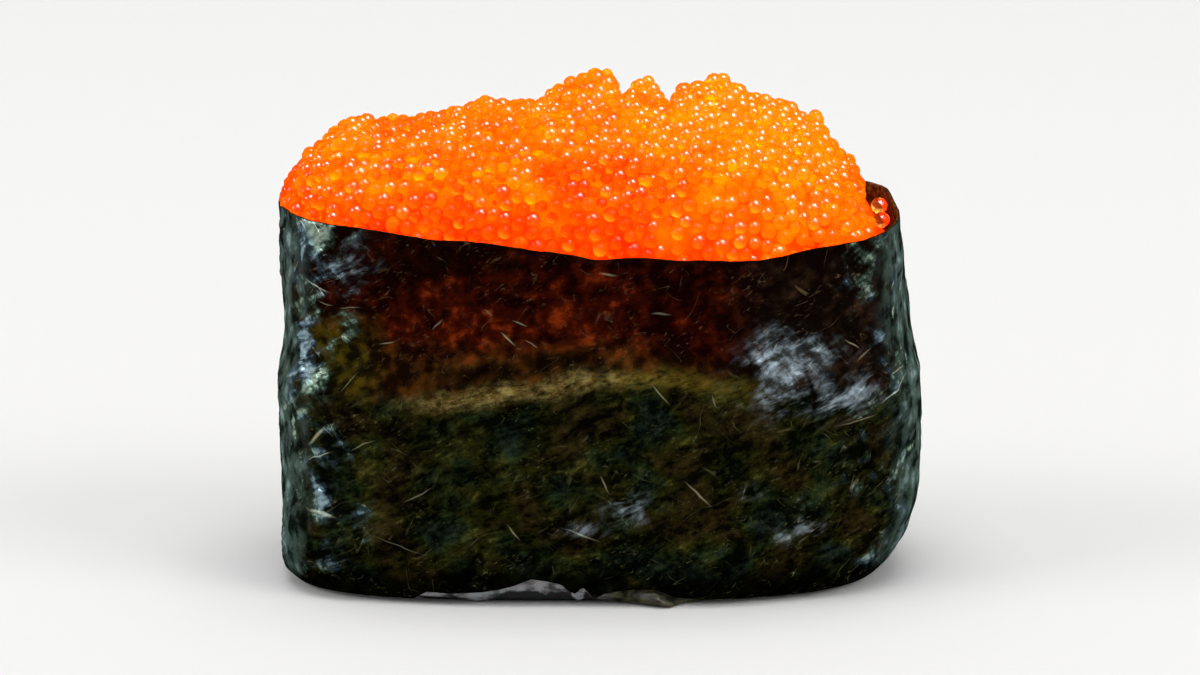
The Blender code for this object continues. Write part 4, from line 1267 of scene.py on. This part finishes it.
def grain_template():
    """A cooked grain along X: rings round a bent spindle, half length 1, and the faces that close it."""
    around, along = 8, 7
    t = np.linspace(-1.0, 1.0, along)
    girths = np.sqrt(np.clip(1.0 - np.abs(t) ** 2.6, 0.03, 1.0))
    turn = np.linspace(0.0, FULL_TURN, around, endpoint=False)
    x = np.repeat(t, around)
    y = (girths[:, None] * np.cos(turn)[None, :] + 0.22 * (t**2)[:, None]).ravel()
    z = (girths[:, None] * np.sin(turn)[None, :]).ravel()
    faces = list(grid_faces(along, around, close_columns=True)[:, ::-1])
    faces += [list(range(around)), list(range((along - 1) * around, along * around))[::-1]]
    return np.stack([x, y, z], axis=1), faces


def make_grains(name, places, turns, lengths, finish, seed):
    """Many grains as one mesh, at given places and turns; what would sink into the table is pressed flat."""
    template, template_faces = grain_template()
    count = len(places)
    halves = [0.5 * lengths, np.full(count, GRAIN_HALF_WIDTH), np.full(count, 0.5 * GRAIN_THICKNESS)]
    scaled = template[None] * np.stack(halves, axis=1)[:, None, :]
    cos, sin = np.cos(turns)[:, None], np.sin(turns)[:, None]
    x = scaled[..., 0] * cos - scaled[..., 1] * sin
    y = scaled[..., 0] * sin + scaled[..., 1] * cos
    points = np.stack([x, y, scaled[..., 2]], axis=-1) + places[:, None, :]
    points[..., 2] = np.maximum(points[..., 2], 0.02 * MM)
    faces = [[int(i) + n * len(template) for i in face] for n in range(count) for face in template_faces]
    tint = np.repeat(np.random.default_rng(seed).uniform(size=count), len(template))
    return make_piece(name, points.reshape(-1, 3) + shift, faces, finish, {"tint": tint})


def underside_places(seed, spacing, throws):
    """Scattered places inside the strip's foot, no two nearer than the spacing, and a turn for each."""
    draw = np.random.default_rng(seed)
    kept = [(0.0, 0.0)]
    for x, y in draw.uniform([-27.0 * MM, -15.0 * MM], [27.0 * MM, 15.0 * MM], (throws, 2)):
        angle = np.array([math.atan2(y, x)])
        limit = np.hypot(*wall_point(angle, np.array([0.4 * MM]), FILLING_INSET + 3.4 * MM))[0]
        if math.hypot(x, y) < limit and min(math.hypot(x - a, y - b) for a, b in kept) > spacing:
            kept.append((x, y))
    return np.array(kept), draw.uniform(0.0, math.pi, len(kept))


# %% The finish of rice, and the rice itself
def rice_finish():
    """Cooked rice: a greyish, milky white that lets a little light in, with a sticky sheen."""
    soft = {"Subsurface_Weight": 0.5, "Subsurface_Scale": 1.5 * MM}
    cooked = Finish("cooked_rice", Roughness=0.32, Coat_Weight=0.2, **soft)
    cooked.surface.inputs["Subsurface Radius"].default_value = (1.0, 0.9, 0.75)
    milky = cooked.grain(cooked.stretched((0.6, 0.6, 0.6)), detail=2.0)
    colour = cooked.blend(milky.between(0.3, 0.7), rgb(206, 204, 194), rgb(236, 235, 228))
    cooked.drive("Base Color", cooked.blend(cooked.field("tint") * 0.4, colour, rgb(214, 210, 190)))
    cooked.bump(milky, 0.1 * MM, 0.5)
    return cooked.material


rice = rice_finish()
block = make_block(rice)
spots, spot_turns = underside_places(71, GRAIN_SPACING, 5000)
draw = np.random.default_rng(72)
low = np.column_stack([spots, draw.uniform(0.75, 1.0, len(spots)) * MM])
lengths = draw.uniform(*GRAIN_LENGTHS, len(spots)) * MM
underside = make_grains("rice_grains_under", low, spot_turns, lengths, rice, 73)


# %% [markdown]
# ## The wet film at the hem
#
# What shows under the lifted hem is hardly grain any more. It is a grey, wet film of squeezed starch that
# hangs from the seaweed's edge, with a few teeth where grains end, and the gap behind it is dark. It is a
# ribbon hung behind the hem down to the table. The film's lower edge follows a short list of heights, and
# below it the ribbon is painted dark grey as the shade in the gap.

# %% The film
# Heights of the film's lower edge along the front, in mm: (x, height). Below it the ribbon is painted shade.
FILM_EDGE = np.array([
    (-16.8, 0.6), (-13.8, 0.5), (-13.2, 0.9), (-12.6, 0.45), (-11.1, 0.02), (-9.7, 0.5), (-8.1, 1.2),
    (-5.6, 1.35), (-4.8, 0.95), (-4.2, 1.3), (-2.9, 1.2), (-2.6, 1.8), (-2.4, 0.8), (-1.95, 0.05),
    (-1.5, 0.5), (-1.2, 1.2), (-0.5, 0.5), (0.6, 0.25), (2.6, 0.05), (5.4, 0.03), (7.4, 0.04), (9.8, 0.04),
])
FILM_THICKNESS = 0.16 * MM
FLAP_REACH = 1.7 * MM


def make_film(finish):
    """A ribbon from behind the hem to the table: it swings out down to the listed edge, then falls back."""
    x = np.linspace(FILM_EDGE[0, 0], FILM_EDGE[-1, 0], 180) * MM
    rows = 16
    share = np.linspace(0.0, 1.0, rows)[:, None]
    angle = even_angles(front_run + x, SEAM_ANGLE)[0]
    wander = noise(np.column_stack([x, np.zeros_like(x), np.zeros_like(x)]), 0.7 * MM, 81)
    hem = hem_height(*waist_point(angle))
    flap = FLAP_REACH * bell(x, 6.0 * MM, 2.6 * MM)
    top = hem + 0.5 * MM
    listed = np.interp(x, FILM_EDGE[:, 0] * MM, FILM_EDGE[:, 1] * MM) + 0.05 * MM * wander
    height = top + share * (0.02 * MM - top)
    sides = []
    for way in (0.0, 1.0):
        hang = smooth_step(height - listed, -0.1 * MM, 0.06 * MM)
        under = smooth_step(hem - height, 0.0, 0.9 * MM)
        inset = (0.6 - 0.35 * hang * share + 0.06 * wander) * MM + way * FILM_THICKNESS - flap * under
        film_x, film_y = wall_point(angle[None, :], height, inset)
        sides.append(np.stack([film_x, film_y, height], axis=-1))
    loop = np.concatenate([sides[0], sides[1][::-1]])
    columns = len(x)
    faces = list(grid_faces(2 * rows, columns, close_rows=True)[:, ::-1])
    start = np.arange(2 * rows) * columns
    faces += [list(start[::-1]), list(start + columns - 1)]
    points = loop.reshape(-1, 3)
    # 1 where the film shows, 0 below its edge, where the ribbon is painted shade.
    wet = smooth_step(loop[..., 2] - listed, -0.05 * MM, 0.05 * MM).ravel()
    return make_piece("rice_film", points + shift, faces, finish, {"wet": wet})


def film_finish():
    """Wet starch: grey and cloudy, turning olive to the right where seaweed dye has run into it, and painted
    dark grey below its edge as shade.
    """
    soft = {"Subsurface_Weight": 0.3, "Subsurface_Scale": 0.5 * MM}
    wet = Finish("wet_film", Roughness=0.5, Specular_IOR_Level=0.1, **soft)
    across = wet.part(wet.place(), "X") / MM
    cloud = wet.grain(wet.stretched((0.9, 0.9, 1.6)), detail=4.0)
    grey = wet.blend(cloud.between(0.35, 0.65), rgb(70, 70, 70), rgb(150, 150, 153))
    stained = wet.blend(cloud.between(0.35, 0.65), rgb(22, 22, 12), rgb(84, 82, 62))
    starch = wet.blend(across.between(-1.0, 1.5), grey, stained)
    # Below the film's edge: the painted shade of the dark gap.
    wet.drive("Base Color", wet.blend(wet.field("wet"), rgb(44, 44, 45), starch))
    wet.bump(cloud, 0.2 * MM)
    return wet.material


film = make_film(film_finish())

# %% [markdown]
# ## Fitting the pieces to the frame
#
# The imported model knows only its own three solids. Each new piece therefore rides on the one body, and
# the solid that it stands for is hidden, so that the model moves as before.

# %% Ride and replace
for piece, node in (
    (sheet, "seaweed"),
    (clear_eggs, "roe"),
    (amber_eggs, "roe"),
    (deep_eggs, "roe"),
    (lone_eggs, "roe"),
    (roe_core, "roe"),
    (block, "rice"),
    (underside, "rice"),
    (film, "rice"),
):
    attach(piece, "root")
    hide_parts(node)

# %% [markdown]
# ## Table, light and camera
#
# The table is one pale level surface that fills the view behind the roll too, because the camera looks down
# on it. Large lamps far off light it evenly. Three more lamps show only in gloss: one puts the glints on
# the eggs and two put the cool sheen on the bent seaweed, without more shadows. The table and the sky don't
# show in gloss, as if black cards stood round the roll, and this keeps the dark seaweed deep.

# %% The table
def make_table():
    """A pale level surface, far larger than the view."""
    pale = Finish("pale_table", Roughness=0.7, Specular_IOR_Level=0.1)
    pale.surface.inputs["Base Color"].default_value = (0.86, 0.86, 0.86, 1.0)
    half = 4.0
    corners = np.array([(-half, -half, 0.0), (half, -half, 0.0), (half, half, 0.0), (-half, half, 0.0)])
    table = make_piece("table", corners, [(0, 1, 2, 3)], pale.material)
    table.visible_glossy = False


make_table()

# %% Light
LAMP_DISTANCE = 4.0
WHITE = (1.0, 0.99, 0.97)
COOL = (0.82, 0.92, 1.0)
PINKISH = (1.0, 0.94, 0.97)


def softbox(name, turn, rise, spread, radiance, colour, diffuse=True, glints=True):
    """A square lamp aimed at the roll: degrees right of the camera, degrees up, and degrees across."""
    turn, rise = math.radians(turn), math.radians(rise)
    way = Vector((math.sin(turn) * math.cos(rise), -math.cos(turn) * math.cos(rise), math.sin(rise)))
    lamp = bpy.data.lights.new(name, "AREA")
    lamp.size = 2.0 * LAMP_DISTANCE * math.tan(math.radians(spread) / 2.0)
    lamp.energy = radiance * lamp.size**2 * math.pi
    lamp.color = colour
    holder = bpy.data.objects.new(name, lamp)
    holder.location = Vector((0.0, 0.0, 0.02)) + way * LAMP_DISTANCE
    holder.rotation_euler = way.to_track_quat("Z", "Y").to_euler()
    holder.visible_diffuse = diffuse
    holder.visible_glossy = glints
    bpy.context.scene.collection.objects.link(holder)


softbox("overhead_light", 4.0, 88.0, 40.0, 2.9, WHITE, glints=False)
softbox("left_light", -72.0, 32.0, 28.0, 3.2, WHITE)
softbox("right_light", 62.0, 34.0, 28.0, 3.4, WHITE)
softbox("upper_glint", 24.0, 60.0, 34.0, 44.0, PINKISH, diffuse=False)
softbox("sheen_left", -60.0, 24.0, 18.0, 30.0, COOL, diffuse=False)
softbox("sheen_right", 40.0, 26.0, 18.0, 16.0, COOL, diffuse=False)

print("lamps, metres across:", {lamp.name: round(lamp.size, 2) for lamp in bpy.data.lights})

# %% Sky
world = bpy.data.worlds.new("studio")
bpy.context.scene.world = world
world.use_nodes = True
world.node_tree.nodes["Background"].inputs["Color"].default_value = (0.98, 0.99, 1.0, 1.0)
world.node_tree.nodes["Background"].inputs["Strength"].default_value = 0.46
world.cycles_visibility.glossy = False

# %% [markdown]
# ## Camera
#
# The rim's curve shows how far the camera looks down, about 12 degrees, and the ends show that it stands
# close. A 100 mm lens at 285 mm fits both.

# %% Camera
CAMERA_RISE = math.radians(12.0)
CAMERA_DISTANCE = 0.285
AIM = Vector((0.0, 0.0, 0.01955))
lens = bpy.data.cameras.new("camera")
lens.lens = 100.0
lens.clip_start = 0.01
lens.clip_end = 10.0
camera = bpy.data.objects.new("camera", lens)
away = Vector((0.0, -math.cos(CAMERA_RISE), math.sin(CAMERA_RISE)))
camera.location = AIM + away * CAMERA_DISTANCE
camera.rotation_euler = away.to_track_quat("Z", "Y").to_euler()
bpy.context.scene.collection.objects.link(camera)
bpy.context.scene.camera = camera
bpy.context.scene.view_settings.view_transform = "Standard"
print("camera, mm from its aim:", round(CAMERA_DISTANCE / MM), "lens, mm:", lens.lens)
